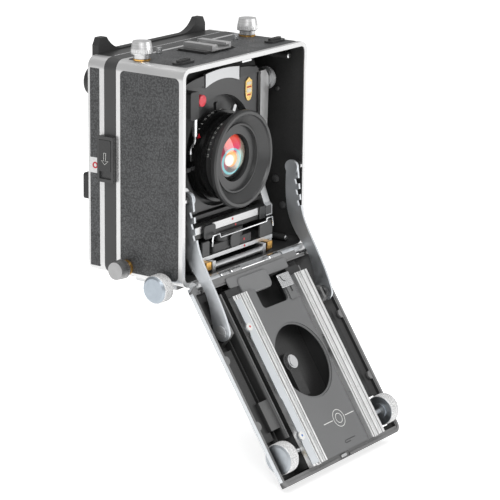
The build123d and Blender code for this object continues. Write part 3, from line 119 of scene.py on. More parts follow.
# ------------------------------------------------------------------ material kit
class Surface:
    """A principled material with helpers for layered procedural detail in object space."""

    def __init__(self, name, roughness=0.4, metallic=0.0, **sockets):
        self.material = bpy.data.materials.new(name)
        self.material.use_nodes = True
        self.tree = self.material.node_tree
        self.shader = self.tree.nodes["Principled BSDF"]
        self.shader.inputs["Roughness"].default_value = roughness
        self.shader.inputs["Metallic"].default_value = metallic
        for socket, value in sockets.items():
            self.shader.inputs[socket.replace("_", " ")].default_value = value
        self.coords = self.tree.nodes.new("ShaderNodeTexCoord").outputs["Object"]
        self.height = None

    def node(self, kind, **values):
        made = self.tree.nodes.new(kind)
        for key, value in values.items():
            setattr(made, key, value)
        return made

    def link(self, source, target):
        self.tree.links.new(source, target)

    def feed(self, socket, value):
        """Links an output, or sets a constant."""
        if isinstance(value, bpy.types.NodeSocket):
            self.link(value, socket)
        else:
            socket.default_value = value

    def math(self, operation, a, b=0.0, c=0.0, clamp=False):
        made = self.node("ShaderNodeMath", operation=operation, use_clamp=clamp)
        for socket, value in zip(made.inputs, (a, b, c)):
            self.feed(socket, value)
        return made.outputs[0]

    def length(self, a, b):
        """The length of a vector with the components a and b."""
        return self.math("SQRT", self.math("ADD", self.math("MULTIPLY", a, a), self.math("MULTIPLY", b, b)))

    def stretched(self, x, y, z):
        """Object coordinates scaled apart along the axes."""
        made = self.node("ShaderNodeMapping")
        made.inputs["Scale"].default_value = (x, y, z)
        self.link(self.coords, made.inputs["Vector"])
        return made.outputs[0]

    def noise(self, scale, detail=3.0, vector=None, distortion=0.0):
        made = self.node("ShaderNodeTexNoise")
        made.inputs["Scale"].default_value = scale
        made.inputs["Detail"].default_value = detail
        made.inputs["Distortion"].default_value = distortion
        self.link(vector or self.coords, made.inputs["Vector"])
        return made.outputs["Fac"]

    def cells(self, scale, feature="F1"):
        made = self.node("ShaderNodeTexVoronoi", feature=feature)
        made.inputs["Scale"].default_value = scale
        self.link(self.coords, made.inputs["Vector"])
        return made.outputs["Distance"]

    def spread(self, value, low, high, to_low=0.0, to_high=1.0):
        made = self.node("ShaderNodeMapRange")
        for key, number in (("From Min", low), ("From Max", high), ("To Min", to_low), ("To Max", to_high)):
            made.inputs[key].default_value = number
        self.link(value, made.inputs["Value"])
        return made.outputs[0]

    def mix(self, fac, a, b):
        made = self.node("ShaderNodeMix", data_type="RGBA")
        self.feed(made.inputs[0], fac)
        for socket, colour in ((made.inputs[6], a), (made.inputs[7], b)):
            if isinstance(colour, bpy.types.NodeSocket):
                self.link(colour, socket)
            else:
                socket.default_value = (*colour, 1)
        return made.outputs[2]

    def position(self):
        """Object-space x, y and z in metres."""
        made = self.node("ShaderNodeSeparateXYZ")
        self.link(self.coords, made.inputs[0])
        return made.outputs[0], made.outputs[1], made.outputs[2]

    def bump(self, height, strength, distance):
        made = self.node("ShaderNodeBump")
        made.inputs["Strength"].default_value = strength
        made.inputs["Distance"].default_value = distance
        self.link(height, made.inputs["Height"])
        if self.height is not None:
            self.link(self.height, made.inputs["Normal"])
        self.height = made.outputs[0]
        self.link(self.height, self.shader.inputs["Normal"])

    def colour(self, value):
        if isinstance(value, bpy.types.NodeSocket):
            self.link(value, self.shader.inputs["Base Color"])
        else:
            self.shader.inputs["Base Color"].default_value = (*value, 1)

    def rough(self, value, low, high):
        self.link(self.spread(value, 0.3, 0.7, low, high), self.shader.inputs["Roughness"])


def grey(level, tint=0.0):
    """A near-neutral linear colour; a positive tint is cooler."""
    return (level * (1 - tint), level, level * (1 + tint))


def leather():
    s = Surface("black_leather", 0.5)
    pebble = s.spread(s.cells(820.0, "SMOOTH_F1"), 0.08, 0.62)
    patches = s.noise(60.0, 4.0)
    fine = s.noise(2600.0, 2.0)
    s.colour(s.mix(s.math("ADD", s.math("MULTIPLY", pebble, 0.8), s.math("MULTIPLY", patches, 0.2)),
                   grey(0.090, 0.03), grey(0.012, 0.03)))
    s.rough(patches, 0.42, 0.6)
    s.bump(s.math("SUBTRACT", 1.0, pebble), 0.7, 0.00020)
    s.bump(fine, 0.2, 0.00004)
    return s.material


def enamel(name, level, roughness=0.38, grain=0.25, tint=0.01):
    """Stoved enamel: fine orange peel, slight cloudiness and dust in the gloss."""
    s = Surface(name, roughness)
    clouds = s.noise(35.0, 4.0)
    grains = s.noise(2400.0, 2.0)
    s.colour(s.mix(s.math("ADD", s.math("MULTIPLY", clouds, 0.6), s.math("MULTIPLY", grains, 0.4)),
                   grey(level * 0.82, tint), grey(level * 1.22, tint)))
    s.rough(clouds, roughness - 0.05, roughness + 0.07)
    s.bump(grains, grain, 0.00005)
    return s.material


def metal(name, level=0.72, roughness=0.26, brush=(1.0, 1.0, 1.0), tint=0.01, depth=0.00002, colour=None):
    """Plated metal with fine brushing: the smaller an axis' factor, the longer the scratches along it."""
    s = Surface(name, roughness, 1.0)
    scratches = s.noise(2200.0, 3.0, s.stretched(*brush))
    clouds = s.noise(45.0, 3.0)
    base = colour or grey(level, tint)
    dark = tuple(part * 0.86 for part in base)
    blotches = s.math("ADD", s.math("MULTIPLY", scratches, 0.5), s.math("MULTIPLY", clouds, 0.5))
    s.colour(s.mix(blotches, dark, base))
    s.rough(scratches, roughness - 0.06, roughness + 0.1)
    s.bump(scratches, 0.35, depth)
    return s.material


def turned(name, centre, axis, level=0.8, roughness=0.24, tint=0.0, grip=None):
    """Metal faced on a lathe: fine rings about an axis, and a pale rough grip outside the radius grip."""
    s = Surface(name, roughness, 1.0)
    x, y, z = s.position()
    across = {"x": ((y, 1), (z, 2)), "y": ((x, 0), (z, 2)), "z": ((x, 0), (y, 1))}[axis]
    parts = []
    for output, index in across:
        offset = s.math("SUBTRACT", output, centre[index] * MM)
        parts.append(s.math("MULTIPLY", offset, offset))
    radius = s.math("SQRT", s.math("ADD", *parts))
    rings = s.math("SINE", s.math("MULTIPLY", radius, 2 * math.pi / (TURNED_RING_PITCH * MM)))
    clouds = s.noise(240.0, 3.0)
    face = s.mix(s.spread(rings, -1, 1), grey(level * 0.88, tint), grey(level, tint))
    if grip:
        outside = s.math("GREATER_THAN", radius, grip * MM)
        grains = s.noise(1300.0, 2.0)
        face = s.mix(outside, face, s.mix(s.spread(grains, 0.35, 0.65), grey(0.40), grey(0.74)))
        s.link(s.spread(outside, 0, 1, 1.0, 0.15), s.shader.inputs["Metallic"])
        s.bump(s.math("MULTIPLY", grains, outside), 0.6, 0.00015)
    s.colour(face)
    s.rough(clouds, roughness - 0.05, roughness + 0.1)
    s.bump(rings, 0.25, 0.00002)
    return s.material


def housing_finish():
    """Silver lacquer outside and on the front rim, wrinkled black inside."""
    s = Surface("housing_finish", 0.3)
    x, y, z = s.position()
    inside_x = s.math("LESS_THAN", s.math("ABSOLUTE", x), 0.0776)
    inside_low = s.math("GREATER_THAN", z, 0.0074)
    inside_high = s.math("LESS_THAN", z, 0.1676)
    behind_rim = s.math("GREATER_THAN", y, -0.0304)
    inside = s.math("MULTIPLY", s.math("MULTIPLY", inside_x, inside_low),
                    s.math("MULTIPLY", inside_high, behind_rim))
    clouds = s.noise(30.0, 4.0)
    wrinkle = s.noise(900.0, 4.0, distortion=0.4)
    silver = s.mix(clouds, grey(0.56), grey(0.68))
    black = s.mix(wrinkle, grey(0.010), grey(0.030))
    s.colour(s.mix(inside, silver, black))
    s.link(s.math("SUBTRACT", 0.75, s.math("MULTIPLY", inside, 0.75)), s.shader.inputs["Metallic"])
    s.link(s.math("ADD", s.math("MULTIPLY", inside, 0.26), s.spread(clouds, 0.3, 0.7, 0.26, 0.36)),
           s.shader.inputs["Roughness"])
    s.bump(s.math("MULTIPLY", wrinkle, inside), 0.6, 0.00012)
    s.bump(s.noise(2600.0, 2.0), 0.12, 0.00003)
    return s.material


def tray_finish():
    """Grey hammered lacquer on the bed's rim, darkening to near black below it as painted shade, silver on its
    sides and knuckles.
    """
    s = Surface("tray_finish", 0.42)
    x, y, z = s.position()
    from_y = s.math("SUBTRACT", y, HINGE.y * MM)
    from_z = s.math("SUBTRACT", z, HINGE.z * MM)
    off = s.math("ADD", s.math("MULTIPLY", from_y, BED_UP.y), s.math("MULTIPLY", from_z, BED_UP.z))
    across = s.math("ABSOLUTE", x)
    reach = s.length(from_y, from_z)
    knuckle = s.math("LESS_THAN", reach, 0.00345)
    edge = s.math("ADD", s.math("GREATER_THAN", across, 0.0801), knuckle, clamp=True)
    from_wall = s.math("ABSOLUTE", s.math("SUBTRACT", across, 0.0768))
    wall = s.math("MULTIPLY", s.math("LESS_THAN", from_wall, 0.0002), s.math("LESS_THAN", off, 0.0028))
    # painted shade: the grey fades to near black deeper below the rim's face; the thin inner wall is kept dark
    # as well
    painted_depth_shade = s.math("SUBTRACT", s.spread(off, 0.0004, 0.0028), wall, clamp=True)
    hammer = s.noise(520.0, 3.0)
    grains = s.noise(2400.0, 2.0)
    grey_paint_and_depth_shade = s.mix(painted_depth_shade, s.mix(grains, grey(0.014), grey(0.034)), s.mix(hammer, grey(0.125), grey(0.175)))
    s.colour(s.mix(edge, grey_paint_and_depth_shade, s.mix(grains, grey(0.55, 0.03), grey(0.68, 0.03))))
    s.link(s.math("MULTIPLY", edge, 0.75), s.shader.inputs["Metallic"])
    s.rough(hammer, 0.40, 0.54)
    s.bump(hammer, 0.3, 0.00010)
    s.bump(grains, 0.2, 0.00004)
    return s.material


def rail_finish():
    """Bright milled rails with fine grooves along their tops, the grooves darkened with painted shade."""
    s = Surface("rail_finish", 0.3, 1.0)
    x, _, _ = s.position()
    across = s.math("ABSOLUTE", x)
    # painted shade: grey lines darken the grooves, which are also pressed in by the bump below
    groove_with_painted_shade = None
    for place in (0.0338, 0.0365, 0.0393, 0.0423, 0.0452):
        near = s.spread(s.math("ABSOLUTE", s.math("SUBTRACT", across, place)), 0.00030, 0.00055, 1.0, 0.0)
        groove_with_painted_shade = near if groove_with_painted_shade is None else s.math("ADD", groove_with_painted_shade, near, clamp=True)
    scratches = s.noise(2200.0, 3.0, s.stretched(1.0, 0.06, 0.06))
    s.colour(s.mix(groove_with_painted_shade, s.mix(scratches, grey(0.78), grey(0.92)), grey(0.24)))
    s.rough(scratches, 0.26, 0.42)
    s.bump(s.math("SUBTRACT", 1.0, groove_with_painted_shade), 0.8, 0.00025)
    s.bump(scratches, 0.2, 0.00002)
    return s.material


def plate_finish():
    """Mid-grey satin paint of the track's cross plate, worn a little along the rails."""
    s = Surface("plate_finish", 0.42)
    x, _, _ = s.position()
    grains = s.noise(2000.0, 2.0)
    clouds = s.noise(28.0, 4.0)
    wear = s.spread(s.math("ABSOLUTE", x), 0.0285, 0.0315)
    paint = s.mix(s.math("ADD", s.math("MULTIPLY", grains, 0.35), s.math("MULTIPLY", clouds, 0.65)),
                  grey(0.105, 0.012), grey(0.140, 0.012))
    s.colour(s.mix(s.math("MULTIPLY", wear, s.spread(clouds, 0.45, 0.7, 0.0, 0.4)), paint, grey(0.2)))
    s.rough(clouds, 0.36, 0.5)
    s.bump(grains, 0.2, 0.00004)
    return s.material


def glass_with_painted_reflections():
    """The front glass with painted reflections of its coatings: a crimson crescent, an orange core, a pale
    window and a cyan ring, painted into its colour and glowing a little.
    """
    s = Surface("glass_with_painted_reflections", 0.04, 0.0, Coat_Weight=1.0, Coat_Roughness=0.02, Specular_IOR_Level=0.7)
    x, _, z = s.position()

    def away(cx, cz, wide=1.0, high=1.0):
        dx = s.math("MULTIPLY", s.math("SUBTRACT", x, cx * MM), 1 / (wide * MM))
        dz = s.math("MULTIPLY", s.math("SUBTRACT", z, cz * MM), 1 / (high * MM))
        return s.length(dx, dz)

    # centres and sizes of the painted reflections on the glass
    dome = away(1, LENS_Z + 3.5, 14.5, 12.5)
    red = away(-2, LENS_Z + 12, 11, 8)
    left = away(-13, LENS_Z + 1, 6, 12)
    ring = away(-4.5, LENS_Z - 2, 9.5, 9.5)
    pale = away(3.5, LENS_Z - 1, 8, 8)
    core = away(-6, LENS_Z + 0.5, 6.2, 6.4)
    painted_window_reflection = away(-8.2, LENS_Z - 0.5, 4.6, 4.8)
    swirl = s.noise(160.0, 3.0)
    painted_bloom = s.mix(swirl, (0.14, 0.10, 0.08), (0.26, 0.21, 0.17))
    crimson = s.mix(s.spread(dome, 0.3, 1.0), (0.50, 0.01, 0.09), (0.62, 0.06, 0.03))
    orange = s.mix(s.spread(core, 0.4, 1.0), (0.80, 0.42, 0.16), (0.78, 0.20, 0.02))
    from_ring = s.math("ABSOLUTE", s.math("SUBTRACT", ring, 1.0))
    # painted reflections, layered over a near-black centre
    painted_reflection = s.mix(s.spread(dome, 0.9, 1.0, 1.0, 0.0), grey(0.004), painted_bloom)
    painted_reflection = s.mix(s.spread(red, 0.75, 1.1, 1.0, 0.0), painted_reflection, crimson)
    painted_reflection = s.mix(s.spread(left, 0.6, 1.05, 0.9, 0.0), painted_reflection, (0.22, 0.005, 0.03))
    painted_reflection = s.mix(s.spread(pale, 0.7, 1.0, 0.75, 0.0), painted_reflection, (0.33, 0.42, 0.36))
    painted_reflection = s.mix(s.spread(from_ring, 0.05, 0.12, 0.85, 0.0), painted_reflection, (0.10, 0.42, 0.46))
    painted_reflection = s.mix(s.spread(core, 0.85, 1.05, 1.0, 0.0), painted_reflection, orange)
    painted_reflection = s.mix(s.spread(painted_window_reflection, 0.85, 1.0, 1.0, 0.0), painted_reflection, (0.62, 0.58, 0.54))
    s.colour(painted_reflection)
    # the painted reflections also glow as emission, though the glass is no lamp
    s.link(painted_reflection, s.shader.inputs["Emission Color"])
    s.shader.inputs["Emission Strength"].default_value = 0.35
    return s.material


def part_black(name, roughness, brush, silver, black, mask_of, rough_to):
    """Brushed satin metal that turns black where mask_of(surface, x, y, z) is 1."""
    s = Surface(name, roughness)
    mask = mask_of(s, *s.position())
    scratches = s.noise(2200.0, 3.0, s.stretched(*brush))
    s.colour(s.mix(mask, s.mix(scratches, *map(grey, silver)), s.mix(scratches, *map(grey, black))))
    s.link(s.math("SUBTRACT", 1.0, mask), s.shader.inputs["Metallic"])
    s.rough(scratches, *rough_to)
    s.bump(scratches, 0.3, 0.00002)
    return s.material


def standard_finish():
    """Satin silver legs of the lens standard, its lower cross bar black."""
    def cross_bar(s, x, y, z):
        between_legs = s.math("LESS_THAN", s.math("ABSOLUTE", x), 0.0470)
        return s.math("MULTIPLY", between_legs, s.math("LESS_THAN", z, 0.0490))

    return part_black("standard_finish", 0.3, (1.0, 1.0, 0.08), (0.54, 0.66), (0.012, 0.026), cross_bar,
                      (0.28, 0.42))


def shoe_finish():
    """Satin accessory shoe on a black foot."""
    def foot(s, x, y, z):
        return s.math("LESS_THAN", z, 0.17185)

    return part_black("shoe_finish", 0.34, (1.0, 0.08, 1.0), (0.52, 0.66), (0.010, 0.022), foot, (0.28, 0.44))


def swing_finish():
    """Bright strip along the upper edge of the swing bar, black below."""
    def below_strip(s, x, y, z):
        return s.math("LESS_THAN", z, 0.0370)

    return part_black("swing_finish", 0.3, (0.06, 1.0, 1.0), (0.50, 0.62), (0.010, 0.024), below_strip,
                      (0.26, 0.40))


def back_finish():
    """Silver lacquer on the back frame's sides, black along the middle of its top."""
    s = Surface("back_finish", 0.34)
    x, _, z = s.position()
    middle = s.math("LESS_THAN", s.math("ABSOLUTE", x), 0.0700)
    top = s.math("MULTIPLY", s.math("GREATER_THAN", z, 0.1697), middle)
    clouds = s.noise(45.0, 3.0)
    grains = s.noise(1400.0, 3.0)
    s.colour(s.mix(top, s.mix(clouds, grey(0.54), grey(0.64)), s.mix(grains, grey(0.010), grey(0.030))))
    s.link(s.math("SUBTRACT", 0.8, s.math("MULTIPLY", top, 0.8)), s.shader.inputs["Metallic"])
    s.rough(grains, 0.30, 0.44)
    s.bump(grains, 0.3, 0.00004)
    return s.material


def ground_screen():
    s = Surface("ground_screen", 0.62, 0.0, Transmission_Weight=0.35)
    grains = s.noise(3000.0, 2.0)
    s.colour(s.mix(grains, (0.62, 0.66, 0.65), (0.8, 0.83, 0.82)))
    s.bump(grains, 0.5, 0.00005)
    return s.material


def bellows_cloth():
    s = Surface("bellows_cloth", 0.72)
    weave = s.noise(1800.0, 3.0)
    clouds = s.noise(50.0, 4.0)
    s.colour(s.mix(s.math("MULTIPLY", weave, clouds), grey(0.012), grey(0.06)))
    s.rough(clouds, 0.6, 0.8)
    s.bump(weave, 0.5, 0.00008)
    return s.material


def plastic(name, colour, roughness=0.3):
    """Moulded plastic or paint fill with a slightly uneven skin."""
    s = Surface(name, roughness)
    clouds = s.noise(300.0, 3.0)
    dark = tuple(part * 0.82 for part in colour)
    light = tuple(min(1.0, part * 1.12) for part in colour)
    s.colour(s.mix(clouds, dark, light))
    s.rough(clouds, roughness - 0.04, roughness + 0.08)
    s.bump(s.noise(1500.0, 2.0), 0.2, 0.00004)
    return s.material


LEATHER = leather()
HOUSING = housing_finish()
TRAY = tray_finish()
RAILS = rail_finish()
PLATE = plate_finish()
BLACK = enamel("black_enamel", 0.020, 0.36)
BLACK_GLOSS = enamel("black_gloss", 0.008, 0.2, 0.12)
BLACK_MATT = enamel("black_matt", 0.016, 0.55, 0.4)
CHARCOAL = enamel("charcoal_enamel", 0.045, 0.42)
FRAME_BLACK = enamel("frame_black", 0.034, 0.45)
BOARD = enamel("board_enamel", 0.058, 0.36)
RING_BLACK = enamel("ring_black", 0.035, 0.33, 0.15)
SILVER = metal("satin_silver", 0.62, 0.34)
BRIGHT = metal("bright_plate", 0.78, 0.22)
ALLOY = metal("matt_alloy", 0.62, 0.44)
STRUT = metal("strut_steel", 0.66, 0.46, (1.0, 0.15, 0.15), tint=0.035)
FOOT_GREY = enamel("foot_grey", 0.052, 0.44)
HINGE_GREY = enamel("hinge_grey", 0.155, 0.44)
BACK = back_finish()
BRASS = metal("brass", colour=(0.80, 0.46, 0.13), roughness=0.28)
GOLD = metal("gold_plate", colour=(0.85, 0.60, 0.22), roughness=0.24)
GLASS = glass_with_painted_reflections()
REAR_GLASS = enamel("rear_glass", 0.012, 0.06, 0.05)
SCREEN = ground_screen()
CLOTH = bellows_cloth()
RED = plastic("red_button", (0.62, 0.05, 0.07), 0.32)
RED_DOT = plastic("red_fill", (0.48, 0.01, 0.02))
BLUE_DOT = plastic("blue_fill", (0.03, 0.14, 0.45))
WHITE_INK = plastic("white_ink", (0.66, 0.66, 0.64), 0.5)
CREAM = plastic("cream_enamel", (0.72, 0.66, 0.52))

finishes = {
    "housing": HOUSING, "body_leather": LEATHER, "base_plate": SILVER, "tripod_bush": BRIGHT,
    "accessory_shoe": shoe_finish(), "strap_lugs": BLACK, "knob_collars": BRASS, "inner_track": SILVER,
    "bed_hinges": ALLOY, "bed_tray": TRAY, "bed_leather": LEATHER, "bed_guides": BLACK,
    "strut_screws": ALLOY, "bed_button": ALLOY, "strut_left": STRUT, "strut_right": STRUT,
    "focus_rails": RAILS, "track_plate": PLATE, "stop_strip": STRUT, "focus_shaft": SILVER,
    "standard_carriage": SILVER, "carriage_racks": BRASS, "drive_shaft": SILVER,
    "shift_block": FRAME_BLACK, "swing_bar": swing_finish(), "standard_frame": standard_finish(),
    "rise_panel": CHARCOAL, "lens_board": BOARD, "board_lock": ALLOY, "release_holder": BLACK,
    "release_button": RED, "release_cable": BRIGHT, "shutter_case": BLACK_GLOSS,
    "speed_ring": BLACK_GLOSS, "shutter_blades": BLACK_MATT, "front_barrel": RING_BLACK,
    "front_element": GLASS, "rear_barrel": BLACK, "rear_element": REAR_GLASS, "cocking_lever": BLACK,
    "release_lever": SILVER, "aperture_lever": SILVER, "tilt_knob": ALLOY, "rise_knob": ALLOY,
    "mid_frame": FRAME_BLACK, "arrow_slider": BLACK, "back_frame": BACK, "back_leather": LEATHER,
    "revolving_back": BLACK_MATT, "focus_frame": BLACK_MATT, "ground_glass": SCREEN,
    "hood_lid": FRAME_BLACK,
}
for side, word in zip(SIDES, ("left", "right")):
    top_axis = (side * TOP_KNOB[0], TOP_KNOB[1], 0)
    finishes[f"top_lock_knob_{word}"] = turned(f"turned_top_{word}", top_axis, "z", 0.74, 0.36)
    finishes[f"side_lock_knob_{word}"] = turned(f"turned_side_{word}", SIDE_KNOB_AXIS, "x", 0.40, 0.42)
finishes["drive_knobs"] = turned("turned_drive", DRIVE_AXIS, "x", 0.44, 0.36, 0.10, 10.3)
finishes["focus_wheels"] = turned("turned_focus", WHEEL_AXIS, "x", 0.44, 0.40, 0.06, 11.4)
for node, finish in finishes.items():
    mesh = NODES[node].data
    mesh.materials.clear()
    mesh.materials.append(finish)


# ------------------------------------------------------------------ piece kit
def add_piece(name, mesh, body, material, bevel=0.0, smooth=True):
    """Links a mesh as a piece that rides on a body, if one is given."""
    piece = bpy.data.objects.new(name, mesh)
    bpy.context.scene.collection.objects.link(piece)
    mesh.materials.append(material)
    if bevel:
        rounding = piece.modifiers.new("edges", "BEVEL")
        rounding.width = bevel * MM
        rounding.segments = 2
        rounding.limit_method = "ANGLE"
        rounding.angle_limit = BEVEL_ANGLE
    if smooth:
        for polygon in mesh.polygons:
            polygon.use_smooth = True
        mesh.set_sharp_from_angle(angle=SHARP_ANGLE)
    if body:
        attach(piece, body)
    return piece


def to_mesh(name, shape):
    bmesh.ops.recalc_face_normals(shape, faces=shape.faces)
    mesh = bpy.data.meshes.new(name)
    shape.to_mesh(mesh)
    shape.free()
    return mesh


def prism_into(shape, matrix, outline, low, high):
    """Adds a closed prism to shape: an outline in the matrix's plane, between two heights."""
    rings = []
    for height in (low, high):
        rings.append([shape.verts.new(matrix @ Vector((x * MM, y * MM, height * MM))) for x, y in outline])
    shape.faces.new(list(reversed(rings[0])))
    shape.faces.new(rings[1])
    for k in range(len(outline)):
        nxt = (k + 1) % len(outline)
        shape.faces.new((rings[0][k], rings[0][nxt], rings[1][nxt], rings[1][k]))


def prism(name, matrix, outline, low, high, body, material, bevel=0.2):
    shape = bmesh.new()
    prism_into(shape, matrix, outline, low, high)
    return add_piece(name, to_mesh(name, shape), body, material, bevel)


def lathe_into(shape, matrix, profile, count=40):
    """Adds a solid of revolution about the matrix's local z: profile of (radius, height), axis to axis."""
    rings = []
    for radius, height in profile:
        if radius == 0:
            rings.append([shape.verts.new(matrix @ Vector((0, 0, height * MM)))])
            continue
        ring = []
        for k in range(count):
            angle = 2 * math.pi * k / count
            point = Vector((radius * math.cos(angle) * MM, radius * math.sin(angle) * MM, height * MM))
            ring.append(shape.verts.new(matrix @ point))
        rings.append(ring)
    for a, b in zip(rings, rings[1:]):
        for k in range(count):
            nxt = (k + 1) % count
            corners = [a[k % len(a)], a[nxt % len(a)], b[nxt % len(b)], b[k % len(b)]]
            unique = list(dict.fromkeys(corners))
            if len(unique) > 2:
                shape.faces.new(unique)


def lathe(name, matrix, profile, body, material, count=40):
    shape = bmesh.new()
    lathe_into(shape, matrix, profile, count)
    return add_piece(name, to_mesh(name, shape), body, material)


def rounded(width, height, radius, cx=0.0, cy=0.0, steps=5):
    """The outline of a rectangle with round corners."""
    points = []
    for sx, sy, start in ((1, 1, 0), (-1, 1, 90), (-1, -1, 180), (1, -1, 270)):
        for k in range(steps + 1):
            angle = math.radians(start + 90 * k / steps)
            points.append((cx + sx * (width / 2 - radius) + radius * math.cos(angle),
                           cy + sy * (height / 2 - radius) + radius * math.sin(angle)))
    return points


def wire(name, points, radius, body, material, smooth_path=False):
    """A bent wire or cord along points in millimetres."""
    data = bpy.data.curves.new(name, "CURVE")
    data.dimensions = "3D"
    data.bevel_depth = radius * MM
    data.bevel_resolution = 3
    data.use_fill_caps = True
    spline = data.splines.new("NURBS" if smooth_path else "POLY")
    spline.points.add(len(points) - 1)
    for control, point in zip(spline.points, points):
        control.co = (*(Vector(point) * MM), 1)
    if smooth_path:
        spline.order_u = 3
        spline.use_endpoint_u = True
    piece = bpy.data.objects.new(name, data)
    bpy.context.scene.collection.objects.link(piece)
    data.materials.append(material)
    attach(piece, body)
    return piece


def screw(name, matrix, radius, height, body, material, slot_angle=30.0):
    """A slotted cheese-head screw standing on the matrix's plane."""
    shape = bmesh.new()
    half = radius * 0.13
    steps = 18
    turn = matrix @ Matrix.Rotation(math.radians(slot_angle), 4, "Z")
    for side in SIDES:
        start = math.asin(half / radius)
        outline = []
        for k in range(steps + 1):
            angle = start + (math.pi - 2 * start) * k / steps
            outline.append((radius * math.cos(angle), side * radius * math.sin(angle)))
        prism_into(shape, turn, outline if side > 0 else outline[::-1], 0.0, height)
    prism_into(shape, turn, rounded(radius * 1.7, radius * 0.4, 0.05, steps=1), 0.0, height * 0.45)
    return add_piece(name, to_mesh(name, shape), body, material, radius * 0.07)


def text_piece(name, marks, body, material):
    """Engraved characters: marks are (text, height in mm, matrix), joined into one mesh."""
    shape = bmesh.new()
    for text, size, matrix in marks:
        data = bpy.data.curves.new(name, "FONT")
        data.body = text
        data.size = size * MM
        data.extrude = 0.03 * MM
        data.align_x = "CENTER"
        data.align_y = "CENTER"
        holder = bpy.data.objects.new(name, data)
        bpy.context.scene.collection.objects.link(holder)
        bpy.context.view_layer.update()
        flat = bpy.data.meshes.new_from_object(holder)
        flat.transform(matrix)
        shape.from_mesh(flat)
        bpy.data.objects.remove(holder)
        bpy.data.curves.remove(data)
        bpy.data.meshes.remove(flat)
    mesh = bpy.data.meshes.new(name)
    shape.to_mesh(mesh)
    shape.free()
    return add_piece(name, mesh, body, material, smooth=False)


# ------------------------------------------------------------------ bellows
def bellows():
    """Pleated leather tube with mitred corners from the panel to the back, on its rear mounting frame."""
    low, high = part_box("bellows")
    front, rear = low.y / MM + 0.2, high.y / MM - 1.3
    folds = 11
    pleat_depth = 3.6
    skin_thickness = 1.0
    loops = []
    for k in range(2 * folds + 1):
        t = k / (2 * folds)
        ridge = k % 2
        swell = pleat_depth if ridge else -pleat_depth
        width = 108 + swell
        height = 110 + swell
        y = front + (rear - front) * t
        corner = 2.0 + 3.0 * ridge
        loops.append([Vector((x, y, z)) for x, z in rounded(width, height, corner, 0, BELLOWS_Z, steps=2)])
    shape = bmesh.new()
    skins = []
    for inset in (0.0, skin_thickness):
        skin = []
        for loop in loops:
            skin.append([shape.verts.new(Vector((p.x - math.copysign(inset, p.x), p.y,
                                                 p.z - math.copysign(inset, p.z - BELLOWS_Z))) * MM)
                         for p in loop])
        skins.append(skin)
    count = len(loops[0])
    for skin in skins:
        for a, b in zip(skin, skin[1:]):
            for k in range(count):
                shape.faces.new((a[k], a[(k + 1) % count], b[(k + 1) % count], b[k]))
    for end in (0, -1):
        for k in range(count):
            shape.faces.new((skins[0][end][k], skins[0][end][(k + 1) % count],
                             skins[1][end][(k + 1) % count], skins[1][end][k]))
    piece = add_piece("bellows_cloth", to_mesh("bellows_cloth", shape), None, CLOTH)
    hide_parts("bellows")
    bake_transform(piece)
    rim = bmesh.new()
    outer = rounded(136, 140, 5, 0, MID_Z)
    inner = rounded(101, 103, 3, 0, BELLOWS_Z)
    for height in (0.0, 1.1):
        matrix = facing_front(0, rear + 1.2, 0)
        ring_out = [rim.verts.new(matrix @ Vector((x * MM, z * MM, height * MM))) for x, z in outer]
        ring_in = [rim.verts.new(matrix @ Vector((x * MM, z * MM, height * MM))) for x, z in inner]
        for k in range(len(outer)):
            nxt = (k + 1) % len(outer)
            rim.faces.new((ring_out[k], ring_out[nxt], ring_in[nxt], ring_in[k]))
        if height == 0.0:
            first = (ring_out, ring_in)
    for a, b in ((first[0], ring_out), (first[1], ring_in)):
        for k in range(len(a)):
            nxt = (k + 1) % len(a)
            rim.faces.new((a[k], a[nxt], b[nxt], b[k]))
    add_piece("bellows_rear_frame", to_mesh("bellows_rear_frame", rim), "camera_body", BLACK_MATT)


bellows()


# ------------------------------------------------------------------ lens board: badge, index, dials
def badge():
    """A plain gilt cartouche with enamel panels: no crest, no lettering."""
    matrix = facing_front(36.5, BOARD_Y - 0.02, 135.5)
    outline = [(-4.3, 6.4), (-2.6, 7.4), (0, 9.4), (2.6, 7.4), (4.3, 6.4), (4.3, -3.5)]
    outline += [(4.3 * math.cos(a), -3.5 - 6.0 * math.sin(a)) for a in (0.5, 1.0, 1.57, 2.14, 2.64)]
    outline += [(-4.3, -3.5)]
    prism("badge", matrix, outline[::-1], 0, 0.9, "front_panel", GOLD, 0.25)
    shape = bmesh.new()
    for x, y, width, height in ((0, 4.4, 6.0, 2.2), (0, -1.2, 6.0, 3.2)):
        prism_into(shape, matrix, rounded(width, height, 0.5, x, y), 0.9, 1.05)
    add_piece("badge_cream_panels", to_mesh("badge_cream_panels", shape), "front_panel", CREAM, 0.05)
    shape = bmesh.new()
    for y in (1.6, -4.6):
        prism_into(shape, matrix, rounded(6.2 if y > 0 else 4.6, 1.1, 0.3, 0, y), 0.9, 1.05)
    add_piece("badge_red_bars", to_mesh("badge_red_bars", shape), "front_panel", RED_DOT, 0.05)


def around_lens(radius, y, angle, outward):
    """Local x runs round the lens, local z outward from its axis or towards the front."""
    a = math.radians(angle)
    radial = Vector((math.cos(a), 0, math.sin(a)))
    around = Vector((math.sin(a), 0, -math.cos(a)))
    origin = Vector((0, y, LENS_Z)) + radial * radius
    if outward:
        return axes(origin, around, radial)
    return axes(origin, around, (0, -1, 0))


